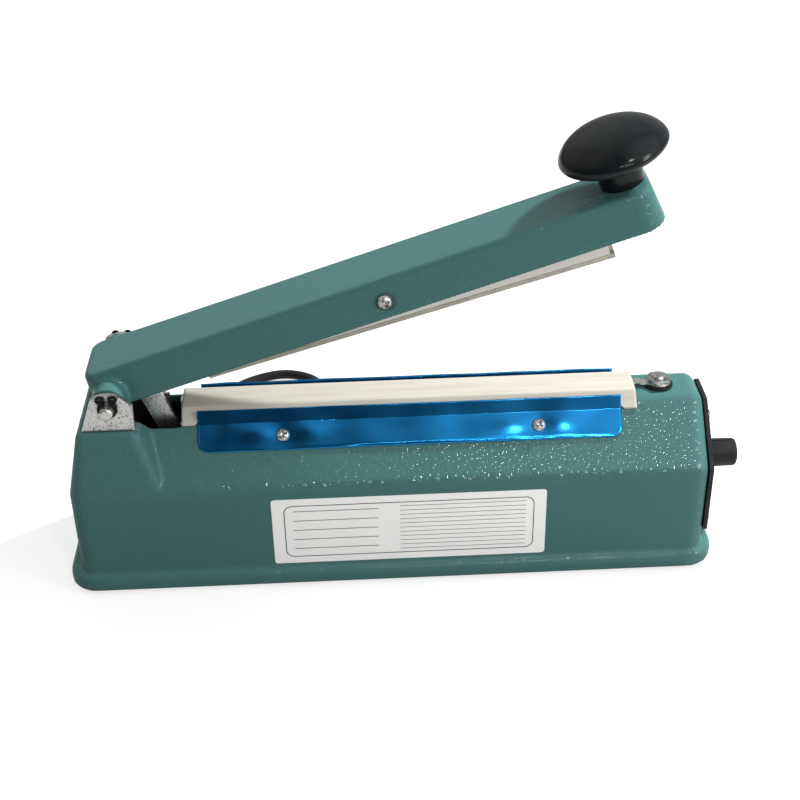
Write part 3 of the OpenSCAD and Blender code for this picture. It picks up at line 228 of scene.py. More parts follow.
def blue_strip():
    metal = Finish("blue_strip", Metallic=1.0)
    metal.feed(metal.shader, "Base_Color", metal.ramp(
        metal.grain(9.0, 4.0), (0.35, (0.014, 0.215, 0.520)), (0.65, (0.018, 0.245, 0.585))))
    brushed = metal.grain(0.25, 2.0, metal.stretched(0.02, 1.0, 1.0))
    metal.feed(metal.shader, "Roughness", metal.spread(brushed, 0.13, 0.21))
    metal.feed(metal.shader, "Normal", metal.bump(metal.grain(3.0, 2.0), 0.02, 0.3))
    return metal.material


def plated(name, colour, rough, spangle, speck, clean=0.75):
    """Plated or bare metal with crystal spangles and dark specks of those sizes in millimetres.

    A lower clean shows more specks.
    """
    metal = Finish(name, Metallic=1.0)
    cell = metal.node("ShaderNodeSeparateColor", Color=metal.cells(spangle, "Color")).outputs[0]
    flecks = metal.spread(metal.grain(speck, 3.0), clean, 1.35)
    tone = metal.math("MULTIPLY", metal.spread(cell, 0.86, 1.0), flecks)
    dark = tuple(c * 0.25 for c in colour)
    metal.feed(metal.shader, "Base_Color", metal.ramp(tone, (0.70, dark), (0.80, colour), (1.0, colour)))
    metal.feed(metal.shader, "Roughness", metal.spread(metal.grain(0.6, 3.0), rough, rough + 0.18))
    metal.feed(metal.shader, "Normal", metal.bump(metal.grain(0.3, 3.0), 0.015, 0.5))
    return metal.material


def moulded(name, colour, rough, grain, gloss=0.5):
    """Moulded plastic or rubber with a fine skin of that grain in millimetres."""
    skin = Finish(name, Specular_IOR_Level=gloss)
    pale = tuple(min(1.0, c * 1.35 + 0.004) for c in colour)
    skin.feed(skin.shader, "Base_Color", skin.ramp(skin.grain(6.0, 4.0), (0.35, colour), (0.75, pale)))
    skin.feed(skin.shader, "Roughness", skin.spread(skin.grain(1.4, 3.0), rough, rough + 0.12))
    skin.feed(skin.shader, "Normal", skin.bump(skin.grain(grain, 2.0), 0.02, 0.35))
    return skin.material


def seal_cloth_finish():
    cloth = Finish("cloth", Sheen_Weight=0.15, Roughness=0.55)
    streak = cloth.grain(2.4, 4.0, cloth.stretched(0.06, 1.0, 1.0))
    cloth.feed(cloth.shader, "Base_Color", cloth.ramp(
        streak, (0.25, srgb(173, 168, 156)), (0.50, srgb(184, 180, 169)), (0.75, srgb(191, 187, 177))))
    threads = []
    for axis in ("X", "Y"):
        wave = cloth.node("ShaderNodeTexWave", Vector=cloth.place, Scale=1 / (1.6 * MM), Distortion=0.4)
        wave.bands_direction = axis
        threads.append(wave.outputs["Fac"])
    weave = cloth.math("MULTIPLY", *threads)
    cloth.feed(cloth.shader, "Normal", cloth.bump(weave, 0.03, 0.35))
    return cloth.material


def label_film():
    film = Finish("label_white", Coat_Weight=0.2)
    film.feed(film.shader, "Base_Color", film.ramp(
        film.grain(14.0, 3.0), (0.3, srgb(248, 248, 245)), (0.7, srgb(252, 252, 249))))
    film.feed(film.shader, "Roughness", film.spread(film.grain(0.5), 0.40, 0.52))
    film.feed(film.shader, "Normal", film.bump(film.grain(4.0), 0.02, 0.2))
    return film.material


def red_lens():
    lens = Finish("lamp_red", Transmission_Weight=0.35, IOR=1.49, Coat_Weight=0.6)
    lens.feed(lens.shader, "Base_Color", lens.ramp(
        lens.grain(1.5), (0.3, (0.55, 0.02, 0.015)), (0.7, (0.70, 0.04, 0.03))))
    lens.feed(lens.shader, "Roughness", lens.spread(lens.grain(0.4), 0.08, 0.2))
    return lens.material


MATERIALS = {
    "green_paint": green_paint(),
    "blue_strip": blue_strip(),
    "zinc_steel": plated("zinc_steel", (0.58, 0.575, 0.555), 0.26, 1.6, 0.6, 0.46),
    "dark_steel": plated("dark_steel", (0.02, 0.02, 0.021), 0.34, 0.8, 0.4),
    "black_gloss": moulded("black_gloss", (0.005, 0.007, 0.008), 0.11, 3.0, 0.2),
    "black_matte": moulded("black_matte", (0.012, 0.013, 0.014), 0.45, 0.35, 0.2),
    "foot_rubber": moulded("foot_rubber", (0.02, 0.02, 0.02), 0.62, 0.4),
    "cord_rubber": moulded("cord_rubber", (0.009, 0.009, 0.010), 0.40, 0.5, 0.25),
    "cloth": seal_cloth_finish(),
    "bakelite": moulded("bakelite", (0.030, 0.012, 0.006), 0.4, 0.5),
    "ribbon": plated("ribbon", (0.80, 0.79, 0.75), 0.22, 2.2, 0.5),
    "silicone": moulded("silicone", srgb(166, 160, 148), 0.5, 0.5),
    "bar_metal": plated("bar_metal", (0.56, 0.55, 0.51), 0.34, 3.0, 0.6),
    "lamp_red": red_lens(),
    "label_white": label_film(),
    "core_iron": plated("core_iron", (0.16, 0.16, 0.17), 0.45, 0.9, 0.5),
    "winding_tape": moulded("winding_tape", (0.60, 0.34, 0.03), 0.35, 0.8),
    "board_green": moulded("board_green", (0.012, 0.11, 0.035), 0.3, 0.8),
    "relay_blue": moulded("relay_blue", (0.02, 0.075, 0.32), 0.35, 0.6),
    "part_grey": moulded("part_grey", (0.05, 0.05, 0.055), 0.4, 0.6),
    "pot_metal": plated("pot_metal", (0.42, 0.42, 0.44), 0.35, 1.0, 0.5),
    "switch_brown": moulded("switch_brown", (0.010, 0.005, 0.004), 0.45, 0.6, 0.2),
    "plug_brass": plated("plug_brass", (0.72, 0.50, 0.18), 0.22, 1.5, 0.5),
}


# Mesh helpers
WELD = 0.002
FLAT_ANGLE = math.radians(1.0)
SHARP_ANGLE = math.radians(28.0)
BEND_STEPS = 6
TINY = 1e-6


def new_piece(name, mesh):
    piece = bpy.data.objects.new(name, mesh)
    scene.collection.objects.link(piece)
    return piece


def from_bmesh(name, bm):
    for face in bm.faces:
        face.smooth = True
    mesh = bpy.data.meshes.new(name)
    bm.to_mesh(mesh)
    bm.free()
    return new_piece(name, mesh)


def bake(piece):
    """Applies a piece's modifiers to its mesh."""
    graph = bpy.context.evaluated_depsgraph_get()
    mesh = bpy.data.meshes.new_from_object(piece.evaluated_get(graph))
    piece.modifiers.clear()
    piece.data = mesh


def even_normals(piece):
    """Shades large faces flat and leaves the turning to the small ones beside them."""
    piece.modifiers.new("normals", "WEIGHTED_NORMAL")
    bake(piece)


def dress(piece, body, slot, *stands_for):
    """Gives a piece its finish, the body it rides on and the CAD nodes it stands for."""
    piece.data.materials.clear()
    piece.data.materials.append(MATERIALS[slot])
    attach(piece, body)
    if stands_for:
        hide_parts(*stands_for)
    return piece


def welded(node):
    """Closed mesh of a CAD node."""
    bm = bmesh.new()
    bm.from_mesh(nodes[node].data)
    bmesh.ops.remove_doubles(bm, verts=bm.verts, dist=WELD * MM)
    return bm


def cast(node, name, voxel, rounds, keep):
    """A casting's skin: the CAD solid remeshed finely, so that its edges turn soft, then thinned out."""
    piece = from_bmesh(name, welded(node))
    remesh = piece.modifiers.new("remesh", "REMESH")
    remesh.mode = "VOXEL"
    remesh.voxel_size = voxel * MM
    remesh.use_smooth_shade = True
    soften = piece.modifiers.new("soften", "SMOOTH")
    soften.iterations = rounds
    thin = piece.modifiers.new("thin", "DECIMATE")
    thin.ratio = keep
    even_normals(piece)
    return piece


def refine(node, name, bevel, segments=2):
    """The CAD solid with its flat faces joined up and its sharp edges broken by a bevel in millimetres."""
    bm = welded(node)
    bmesh.ops.dissolve_limit(bm, angle_limit=FLAT_ANGLE, verts=bm.verts, edges=bm.edges)
    sharp = [e for e in bm.edges if len(e.link_faces) == 2 and e.calc_face_angle() > SHARP_ANGLE]
    bmesh.ops.bevel(bm, geom=sharp, offset=bevel * MM, segments=segments, profile=0.5,
                    affect="EDGES", clamp_overlap=True)
    piece = from_bmesh(name, bm)
    even_normals(piece)
    return piece


def curve_through(points, steps):
    """Smooth curve through points, with a number of steps from each to the next."""
    points = [Vector(p) for p in points]
    ends = [2 * points[0] - points[1]] + points + [2 * points[-1] - points[-2]]
    curve = []
    for a, b, c, d in zip(ends, ends[1:], ends[2:], ends[3:]):
        for i in range(steps):
            t = i / steps
            curve.append(0.5 * (2 * b + (c - a) * t + (2 * a - 5 * b + 4 * c - d) * t * t
                                + (3 * b - a - 3 * c + d) * t ** 3))
    return curve + [points[-1]]


def angles_round(count):
    return [2 * math.pi * k / count for k in range(count)]


def tube(name, path, radius, sides):
    """Round tube along a path, closed at both ends."""
    bm = bmesh.new()
    side = Vector((0.0, 0.0, 1.0))
    rings = []
    for i, point in enumerate(path):
        way = (path[min(i + 1, len(path) - 1)] - path[max(i - 1, 0)]).normalized()
        side = side - side.dot(way) * way
        if side.length < TINY:
            side = way.orthogonal()
        side.normalize()
        rise = way.cross(side)
        outward = [math.cos(a) * side + math.sin(a) * rise for a in angles_round(sides)]
        rings.append([bm.verts.new(point + radius * out) for out in outward])
    for ring, after in zip(rings, rings[1:]):
        for k in range(sides):
            bm.faces.new((ring[k], ring[(k + 1) % sides], after[(k + 1) % sides], after[k]))
    bm.faces.new(rings[0][::-1])
    bm.faces.new(rings[-1])
    return from_bmesh(name, bm)


def lathe(name, profile, segments):
    """Turned solid about z from (radius, height) points in millimetres, from axis to axis."""
    bm = bmesh.new()
    rings = []
    for radius, height in profile:
        if radius < TINY:
            rings.append([bm.verts.new(metres(0, 0, height))])
            continue
        rings.append([bm.verts.new(metres(radius * math.cos(a), radius * math.sin(a), height))
                      for a in angles_round(segments)])
    for ring, after in zip(rings, rings[1:]):
        for k in range(segments):
            corners = [ring[k % len(ring)], ring[(k + 1) % len(ring)],
                       after[(k + 1) % len(after)], after[k % len(after)]]
            bm.faces.new(list(dict.fromkeys(corners)))
    bmesh.ops.recalc_face_normals(bm, faces=bm.faces)
    return from_bmesh(name, bm)


def combine(piece, other, operation):
    """Boolean of a piece with another, which is then deleted."""
    step = piece.modifiers.new("combine", "BOOLEAN")
    step.operation = operation
    step.solver = "EXACT"
    step.object = other
    bake(piece)
    bpy.data.objects.remove(other)


def box_piece(name, low, high):
    bm = bmesh.new()
    bmesh.ops.create_cube(bm, size=1.0)
    low, high = Vector(low), Vector(high)
    for vert in bm.verts:
        vert.co = Vector(low[i] + (vert.co[i] + 0.5) * (high[i] - low[i]) for i in range(3)) * MM
    return from_bmesh(name, bm)


def copies(name, source, places):
    """One piece made of copies of a source piece, which is then deleted."""
    bm = bmesh.new()
    for place in places:
        part = bmesh.new()
        part.from_mesh(source.data)
        part.transform(place)
        mesh = bpy.data.meshes.new("copy")
        part.to_mesh(mesh)
        part.free()
        bm.from_mesh(mesh)
        bpy.data.meshes.remove(mesh)
    bpy.data.objects.remove(source)
    piece = from_bmesh(name, bm)
    even_normals(piece)
    return piece


def sheet_piece(name, columns, rows, place, thickness):
    """Thin sheet over a grid: place gives the outer face's point at shares along and across it."""
    bm = bmesh.new()
    grid = [[bm.verts.new(place(i / columns, j / rows)) for j in range(rows + 1)]
            for i in range(columns + 1)]
    for i in range(columns):
        for j in range(rows):
            bm.faces.new((grid[i][j], grid[i + 1][j], grid[i + 1][j + 1], grid[i][j + 1]))
    piece = from_bmesh(name, bm)
    solid = piece.modifiers.new("thickness", "SOLIDIFY")
    solid.thickness = thickness * MM
    solid.offset = -1.0
    bake(piece)
    return piece


def filleted(points, radius, step):
    """Points along a bent line in y and z, with round bends, about a step apart."""
    points = [Vector(p) for p in points]
    line = [points[0]]
    for before, corner, after in zip(points, points[1:], points[2:]):
        start, end = (before - corner).normalized(), (after - corner).normalized()
        reach = radius * math.tan((math.pi - start.angle(end)) / 2)
        a, b = corner + start * reach, corner + end * reach
        for i in range(BEND_STEPS + 1):
            t = i / BEND_STEPS
            line.append(a * (1 - t) ** 2 + corner * 2 * t * (1 - t) + b * t * t)
    line.append(points[-1])
    spaced = []
    for a, b in zip(line, line[1:]):
        count = max(1, round((b - a).length / step))
        spaced += [a.lerp(b, i / count) for i in range(count)]
    return spaced + [line[-1]]


def smooth_step(low, high, value):
    t = min(1.0, max(0.0, (value - low) / (high - low)))
    return t * t * (3 - 2 * t)


make_camera()

# Mains lead: its route behind the housing and its coil, as in the CAD model
LEAD_D = 5.2
LEAD_ROUTE = [
    (-100, 66, 22), (-100, 75, 21.8), (-100, 85, 19), (-100, 95, 13), (-100, 105, 6.6),
    (-100, 115, 3.2), (-98, 124, 2.7), (-93.5, 132.5, 2.7), (-86.5, 140, 2.7),
    (-77, 145.8, 2.7), (-66, 149.2, 2.7), (-56, 147.8, 2.7), (-47.5, 142.6, 2.7),
    (-42, 134.5, 2.7), (-39.5, 125, 2.7), (-39, 114, 2.9), (-39, 103, 3.4), (-39, 93.2, 3.6),
]
COIL_MID = (-3.0, 88.0)
COIL_OUT = 36.0
COIL_STEP = 5.8
COIL_Z = 3.6
COIL_LAYER = 5.7
COIL_SWEEP = 945
COIL_POINT = 15
COIL_TAIL = 12.0


def coil_point(angle):
    """Point of the coil: in along the lower layer, up, and out along the upper one."""
    radius = COIL_OUT - COIL_STEP * (COIL_SWEEP - abs(COIL_SWEEP - angle)) / 360
    climb = min(1.0, max(0.0, (angle - COIL_SWEEP + 90) / 180))
    turn = math.radians(180 + angle)
    return (
        COIL_MID[0] + radius * math.cos(turn),
        COIL_MID[1] + radius * math.sin(turn),
        COIL_Z + COIL_LAYER * (1 - math.cos(math.pi * climb)) / 2,
    )


def make_lead():
    points = LEAD_ROUTE + [coil_point(angle) for angle in range(0, 2 * COIL_SWEEP + 1, COIL_POINT)]
    tail_y, tail_z = COIL_MID[1] - COIL_OUT, COIL_Z + COIL_LAYER
    points += [(COIL_MID[0] + COIL_TAIL * share, tail_y, tail_z) for share in (0.5, 1.0)]
    path = curve_through([metres(*p) for p in points], 3)
    lead = tube("mains_lead", path, LEAD_D * MM / 2, 16)
    dress(lead, "base", "cord_rubber", "mains_cord", "cord_coil")
    plug = dress(refine("plug_body", "plug_shell", 1.2, 3), "base", "cord_rubber", "plug_body")
    pins = dress(refine("plug_pins", "plug_blades", 0.5), "base", "plug_brass", "plug_pins")
    tie = dress(refine("cord_tie", "lead_tie", 0.15), "base", "black_matte", "cord_tie")
    dress(refine("cord_gland", "lead_gland", 0.25), "base", "black_matte", "cord_gland")


make_lead()

# Castings
dress(cast("housing", "housing_casting", voxel=0.9, rounds=4, keep=0.22), "base", "green_paint", "housing")
dress(cast("arm_casting", "arm_shell", voxel=0.7, rounds=4, keep=0.3), "arm", "green_paint", "arm_casting")

# Clamp strips: the pucker beside a screw is its reach, drop, length, width and height, and the wave
# is its length along and across, the step from front to back, and its height
STRIP_GAP = 0.25
STRIP_SKIRT = tuple((y, slope_height(y) + STRIP_GAP) for y in (14.0, 23.6))
STRIP_LIP = {-1: ((11.7, 82.8),), 1: ((10.7, 82.9), (11.1, 80.4))}
STRIP_T = 0.5
STRIP_FILLET = 1.4
STRIP_GRID = 0.55
STRIP_COLUMNS = 190
STRIP_CORNER = 5.0
STRIP_BULGE = 0.4
STRIP_DENT = (9.5, 6.0)
STRIP_PUCKER = (11.0, -1.0, 8.0, 4.0, 0.5)
STRIP_WAVE = (24.0, 12.0, 3.1, 0.45)
STRIP_CURL = 1.6
STRIP_END = 14.0


def strip_profile(corners):
    """Points across a strip from its lip down, each with its outward direction and the length so far."""
    line = filleted(corners, STRIP_FILLET, STRIP_GRID)
    rows, run = [], 0.0
    for i, point in enumerate(line):
        way = (line[min(i + 1, len(line) - 1)] - line[max(i - 1, 0)]).normalized()
        run += (point - line[max(i - 1, 0)]).length
        rows.append((point, Vector((-way.y, way.x)), run))
    return rows


def make_strip(name, side, node):
    rows = strip_profile(STRIP_LIP[side] + STRIP_SKIRT)
    length = rows[-1][2]
    screw = length - (STRIP_SKIRT[1][0] - STRIP_SCREW_Y) / math.cos(SLOPE)
    reach, below, long, wide, height = STRIP_PUCKER
    wave_along, wave_across, wave_step, wave_height = STRIP_WAVE

    def place(along, across):
        point, out, run = rows[round(across * (len(rows) - 1))]
        left = length - run
        inset = 0.0
        if left < STRIP_CORNER:
            inset = STRIP_CORNER - math.sqrt(STRIP_CORNER ** 2 - (STRIP_CORNER - left) ** 2)
        x = STRIP_X[0] + inset + along * (STRIP_X[1] - STRIP_X[0] - 2 * inset)
        dent = sum(math.exp(-((x - at) / STRIP_DENT[0]) ** 2 - ((run - screw) / STRIP_DENT[1]) ** 2)
                   for at in STRIP_SCREW_X)
        ends = smooth_step(0.0, STRIP_END, min(x - STRIP_X[0], STRIP_X[1] - x))
        free = smooth_step(0.0, STRIP_CURL, left) * ends
        wave = wave_height * noise.noise((x / wave_along, side * wave_step, run / wave_across))
        pucker = sum(math.exp(-((abs(x - at) - reach) / long) ** 2 - ((run - screw - below) / wide) ** 2)
                     for at in STRIP_SCREW_X)
        lift = STRIP_T + free * (STRIP_BULGE * (1 - min(1.0, dent)) + height * pucker + wave)
        y, z = point + out * lift
        return metres(x, side * y, z)

    piece = sheet_piece(name, STRIP_COLUMNS, len(rows) - 1, place, STRIP_T * side)
    dress(piece, "base", "blue_strip", node)


make_strip("front_strip", -1, "front_clamp_strip")
make_strip("rear_strip", 1, "rear_clamp_strip")

# Cloth over the seal bar: each wave is its length along and across, its seed and its height
CLOTH_X = (-101.8, 106.6)
CLOTH_T = 0.3
CLOTH_HALF = ((0.0, 83.03), (2.65, 83.03), (7.97, 82.72), (13.17, 77.80))
CLOTH_FILLET = 1.2
CLOTH_GRID = 0.5
CLOTH_COLUMNS = 220
CLOTH_FLAT = (6.0, 8.0)
CLOTH_WAVES = ((22.0, 7.0, 2.0, 0.10), (5.0, 2.5, 7.0, 0.05))
HEM_FROM = 11.8
HEM_DROP = 1.3
HEM_EASE = 1.5


def make_cloth():
    half = filleted(CLOTH_HALF, CLOTH_FILLET, CLOTH_GRID)
    rows = [Vector((-p.x, p.y)) for p in half[:0:-1]] + half

    def place(along, across):
        y, z = rows[round(across * (len(rows) - 1))]
        x = CLOTH_X[0] + along * (CLOTH_X[1] - CLOTH_X[0])
        flat = 1 - smooth_step(*CLOTH_FLAT, abs(y))
        wave = sum(height * noise.noise((x / long, y / wide, seed))
                   for long, wide, seed, height in CLOTH_WAVES)
        loose = 1 - smooth_step(-HEM_EASE, 0.0, min(x - STRIP_X[0], STRIP_X[1] - x))
        drop = HEM_DROP * loose * smooth_step(HEM_FROM, CLOTH_HALF[-1][0], abs(y))
        return metres(x, y + math.copysign(drop, y), z + wave * flat - drop * math.tan(SLOPE))

    cloth = sheet_piece("seal_cloth", CLOTH_COLUMNS, len(rows) - 1, place, -CLOTH_T)
    dress(cloth, "base", "cloth", "teflon_cloth")


make_cloth()

# Fasteners: a screw is its head's width and height and its shank's width and length, a nut its width,
# height and bore, and a washer its width, bore and thickness
STRIP_SCREW = (6.2, 2.2, 3.0, 6.0)
STRIP_SCREW_SEAT = 0.68
STRIP_SCREW_TURNS = {-1: (20, 52), 1: (8, 71)}
PANEL_SCREW = (5.6, 1.8, 2.9, 7.0)
PANEL_SCREW_PLACES = ((-27, 23, 15), (27, 23, 60), (-10, 68.5, 33), (10, 68.5, 80))
BAR_SCREW = (7.0, 3.3, 4.0, 2 * BAR_SIDE + 4.6)
BAR_SCREW_TURN = 12
BAR_NUT = (7.0, 3.2, 4.0)
TERMINAL_NUT = (10.0, 1.8, 6.0)
TERMINAL_NUT_TURN = 11
TERMINAL_WASHER = (11.5, 6.0, 0.4)
TERMINAL_PLATE = 81.9
STUD_FOOT, STUD_LOW, STUD_TOP = 71.1, 75.1, 85.3
STUD_HEAD_R, THREAD_CREST, THREAD_ROOT = 5.0, 3.0, 2.62
THREAD_PITCH = 1.0
STUD_POINT = 0.8
STUD_TIP = ((2.1, 0.15), (1.6, 0.0), (0.0, 0.1))
# Shares of a screw head's radius and height
DOME = ((1.0, 0.1), (1.0, 0.3), (0.93, 0.6), (0.72, 0.87), (0.4, 0.98), (0.0, 1.0))
CROSS = (0.62, 0.16)
CROSS_LOW, CROSS_HIGH = 0.45, 1.5
NUT_CHAMFER = 0.14
ROUND = 40
FINE_ROUND = 48


def crosshead(head_d, head_h, shank_d, shank_l):
    """Domed screw with a cross recess, seated at z = 0."""
    r, h = head_d / 2, head_h
    dome = [(across * r, up * h) for across, up in DOME]
    profile = [(0.0, -shank_l), (shank_d / 2, -shank_l), (shank_d / 2, 0.0), (r - 0.1, 0.0)]
    screw = lathe("screw", profile + dome, ROUND)
    for width, depth in (CROSS, CROSS[::-1]):
        cutter = box_piece("cutter", (-r * width, -r * depth, h * CROSS_LOW),
                           (r * width, r * depth, h * CROSS_HIGH))
        combine(screw, cutter, "DIFFERENCE")
    return screw


def drill(piece, bore, height):
    """Cuts a hole about z through a piece of that height."""
    r, low, high = bore / 2, -1.0, height + 1.0
    hole = lathe("hole", [(0.0, low), (r, low), (r, high), (0.0, high)], ROUND)
    combine(piece, hole, "DIFFERENCE")


def hex_nut(across, height, bore):
    """Nut with its corners turned off at both ends, seated at z = 0."""
    corner = across / math.sqrt(3)
    nut = lathe("nut", [(0.0, 0.0), (corner, 0.0), (corner, height), (0.0, height)], 6)
    half, edge = across / 2, height * NUT_CHAMFER
    turned = lathe("turned", [
        (0.0, 0.0), (half, 0.0), (corner, edge), (corner, height - edge), (half, height), (0.0, height),
    ], FINE_ROUND)
    combine(nut, turned, "INTERSECT")
    drill(nut, bore, height)
    return nut


def washer(outer, inner, thickness):
    """Pressed washer with a rounded rim, seated at z = 0."""
    r, t = outer / 2, thickness
    rim = [(r - 0.15, 0.0), (r, t * 0.3), (r, t * 0.7), (r - 0.2, t)]
    disc = lathe("washer", [(0.0, 0.0)] + rim + [(0.0, t)], FINE_ROUND)
    drill(disc, inner, t)
    return disc


def joined(name, *parts):
    """One piece made of several, which are then deleted."""
    bm = bmesh.new()
    for part in parts:
        bm.from_mesh(part.data)
        bpy.data.objects.remove(part)
    return from_bmesh(name, bm)


def spun(angle):
    return Matrix.Rotation(math.radians(angle), 4, "Z")


def make_strip_screws():
    lift = Matrix.Translation(metres(0, 0, STRIP_SCREW_SEAT))
    seats = [on_slope(x, STRIP_SCREW_Y, side) @ lift @ spun(turn)
             for side, turns in STRIP_SCREW_TURNS.items() for x, turn in zip(STRIP_SCREW_X, turns)]
    screws = copies("strip_screws", crosshead(*STRIP_SCREW), seats)
    dress(screws, "base", "zinc_steel", "clamp_screws")


def make_panel_screws():
    facing = Matrix.Rotation(math.pi / 2, 4, "Y")
    seats = [Matrix.Translation(metres(PANEL_X, y, z)) @ facing @ spun(turn)
             for y, z, turn in PANEL_SCREW_PLACES]
    screws = copies("end_panel_screws", crosshead(*PANEL_SCREW), seats)
    dress(screws, "base", "zinc_steel", "panel_screws")


def make_bar_screw():
    pivot = arm_frame @ Matrix.Translation(BAR_ON_ARM)
    front = pivot @ Matrix.Translation(metres(0, -BAR_SIDE, 0)) @ Matrix.Rotation(math.pi / 2, 4, "X")
    screw = copies("bar_screw", crosshead(*BAR_SCREW), [front @ spun(BAR_SCREW_TURN)])
    dress(screw, "arm", "zinc_steel", "bar_pivot_screw")
    back = pivot @ Matrix.Translation(metres(0, BAR_SIDE, 0)) @ Matrix.Rotation(-math.pi / 2, 4, "X")
    dress(copies("bar_nut", hex_nut(*BAR_NUT), [back]), "arm", "zinc_steel", "bar_pivot_nut")


def make_terminal():
    """Nut, washer and threaded stud of the right terminal."""
    lift = Matrix.Translation(metres(0, 0, TERMINAL_WASHER[2]))
    nut = copies("nut_raised", hex_nut(*TERMINAL_NUT), [lift @ spun(TERMINAL_NUT_TURN)])
    pair = joined("nut_and_washer", nut, washer(*TERMINAL_WASHER))
    seat = Matrix.Translation(metres(TERMINAL_X, 0, TERMINAL_PLATE))
    dress(copies("terminal_nut_set", pair, [seat]), "base", "zinc_steel", "terminal_nut")
    thread_top = STUD_TOP - STUD_POINT
    profile = [(0.0, STUD_FOOT), (STUD_HEAD_R, STUD_FOOT), (STUD_HEAD_R, STUD_LOW)]
    for i in range(int((thread_top - STUD_LOW) / THREAD_PITCH)):
        z = STUD_LOW + i * THREAD_PITCH
        profile += [(THREAD_ROOT, z), (THREAD_CREST, z + THREAD_PITCH / 2)]
    profile += [(THREAD_ROOT, thread_top)] + [(r, STUD_TOP - drop) for r, drop in STUD_TIP]
    seat = Matrix.Translation(metres(TERMINAL_X, 0, 0))
    bolt = copies("terminal_bolt", lathe("stud", profile, ROUND), [seat])
    dress(bolt, "base", "zinc_steel", "terminal_stud")


make_strip_screws()
make_panel_screws()
make_bar_screw()
make_terminal()

# Round grip
GRIP_U = 244.0
GRIP_V = 14.8
GRIP_PROFILE = [
    (9.7, 0), (9.9, 3), (10.3, 6.5), (11.3, 9), (14.9, 10.8), (20.2, 12.2), (22.8, 13.6), (24.0, 15.6),
    (23.6, 17.6), (22.1, 20), (19.2, 22.8), (14.9, 25.2), (9.6, 26.9), (4.8, 27.7),
]
GRIP_CROWN = [(2.4, 27.93), (0.0, 28.0)]
GRIP_SEGMENTS = 96


def make_grip():
    side = [(p.x, p.y) for p in curve_through(GRIP_PROFILE, 5)]
    grip = lathe("grip", [(0.0, 0.0)] + side + GRIP_CROWN, GRIP_SEGMENTS)
    seat = arm_frame @ Matrix.Translation(metres(GRIP_U, 0, GRIP_V))
    dress(copies("round_grip", grip, [seat]), "arm", "black_gloss", "grip_knob")


make_grip()

# Return spring: coils between the anchor in the housing and the arm's lever
SPRING_X = (-109.0, -59.5)
SPRING_Y = -11.0
SPRING_Z = 57.0
SPRING_R = 3.6
SPRING_WIRE = 1.2
SPRING_TURNS = 14
SPRING_STEPS = 16 * SPRING_TURNS
SPRING_LEG = 5.5
HOOK_R = 1.6
HOOK_BEND = 0.3 * HOOK_R
HOOK_Y = (-2.8, -6.6)


def make_spring():
    hook = [(0, HOOK_Y[0]), (0, HOOK_Y[1]), (0, SPRING_Y + HOOK_R),
            (HOOK_BEND, SPRING_Y + HOOK_BEND), (HOOK_R, SPRING_Y)]
    points = [(SPRING_X[0] + x, y, SPRING_Z) for x, y in hook]
    start, end = SPRING_X[0] + SPRING_LEG, SPRING_X[1] - SPRING_LEG
    for i in range(SPRING_STEPS + 1):
        share = i / SPRING_STEPS
        turn = 2 * math.pi * SPRING_TURNS * share
        grown = SPRING_R * min(1.0, 2 * SPRING_TURNS * share, 2 * SPRING_TURNS * (1 - share))
        points.append((start + (end - start) * share, SPRING_Y - grown * math.cos(turn),
                       SPRING_Z + grown * math.sin(turn)))
    points += [(SPRING_X[1] - x, y, SPRING_Z) for x, y in hook[::-1]]
    spring = tube("pull_spring", [metres(*p) for p in points], SPRING_WIRE * MM / 2, 10)
    spring.data.materials.append(MATERIALS["dark_steel"])
    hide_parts("return_spring")
    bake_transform(spring)


make_spring()

# Label: its border and its ruled lines stand on the blank film. Each block of lines is its count,
# its ends, the height of its top line, the step down and the thickness
LABEL_X = (-62.7, 63.3)
LABEL_Z = (12.4, 48.9)
LABEL_FACE = -36.6
LABEL_MARGIN = (5.5, 3.6)
LABEL_CORNER = 4.0
LABEL_BORDER = 0.42
LABEL_LINES = ((5, -53.0, -14.0, 42.0, 5.3, 0.34), (11, -4.0, 54.0, 43.0, 2.45, 0.26))
CORNER_STEPS = 8
PRINT_LIFT = 0.03


def make_label():
    dress(refine("rating_label", "label_film", 0.06, 1), "base", "label_white", "rating_label")
    bm = bmesh.new()
    y = LABEL_FACE - PRINT_LIFT

    def band(points):
        rings = [[bm.verts.new(metres(x, y, z)) for x, z in ring] for ring in points]
        count = len(rings[0])
        for k in range(count):
            bm.faces.new((rings[0][k], rings[0][(k + 1) % count], rings[1][(k + 1) % count], rings[1][k]))

    def frame_ring(inset):
        radius = LABEL_CORNER - inset
        left, right = LABEL_X[0] + LABEL_MARGIN[0] + LABEL_CORNER, LABEL_X[1] - LABEL_MARGIN[0] - LABEL_CORNER
        low, high = LABEL_Z[0] + LABEL_MARGIN[1] + LABEL_CORNER, LABEL_Z[1] - LABEL_MARGIN[1] - LABEL_CORNER
        ring = []
        for quarter, (x, z) in enumerate(((right, high), (left, high), (left, low), (right, low))):
            for step in range(CORNER_STEPS + 1):
                angle = math.radians(90 * (quarter + step / CORNER_STEPS))
                ring.append((x + radius * math.cos(angle), z + radius * math.sin(angle)))
        return ring

    def rule(x0, x1, z, thick):
        bm.faces.new([bm.verts.new(metres(x, y, h)) for x, h in (
            (x0, z - thick / 2), (x1, z - thick / 2), (x1, z + thick / 2), (x0, z + thick / 2))])

    band((frame_ring(0.0), frame_ring(LABEL_BORDER)))
    for count, start, end, top, pitch, thick in LABEL_LINES:
        for row in range(count):
            rule(start, end, top - pitch * row, thick)
    dress(from_bmesh("label_print", bm), "base", "black_matte")


make_label()

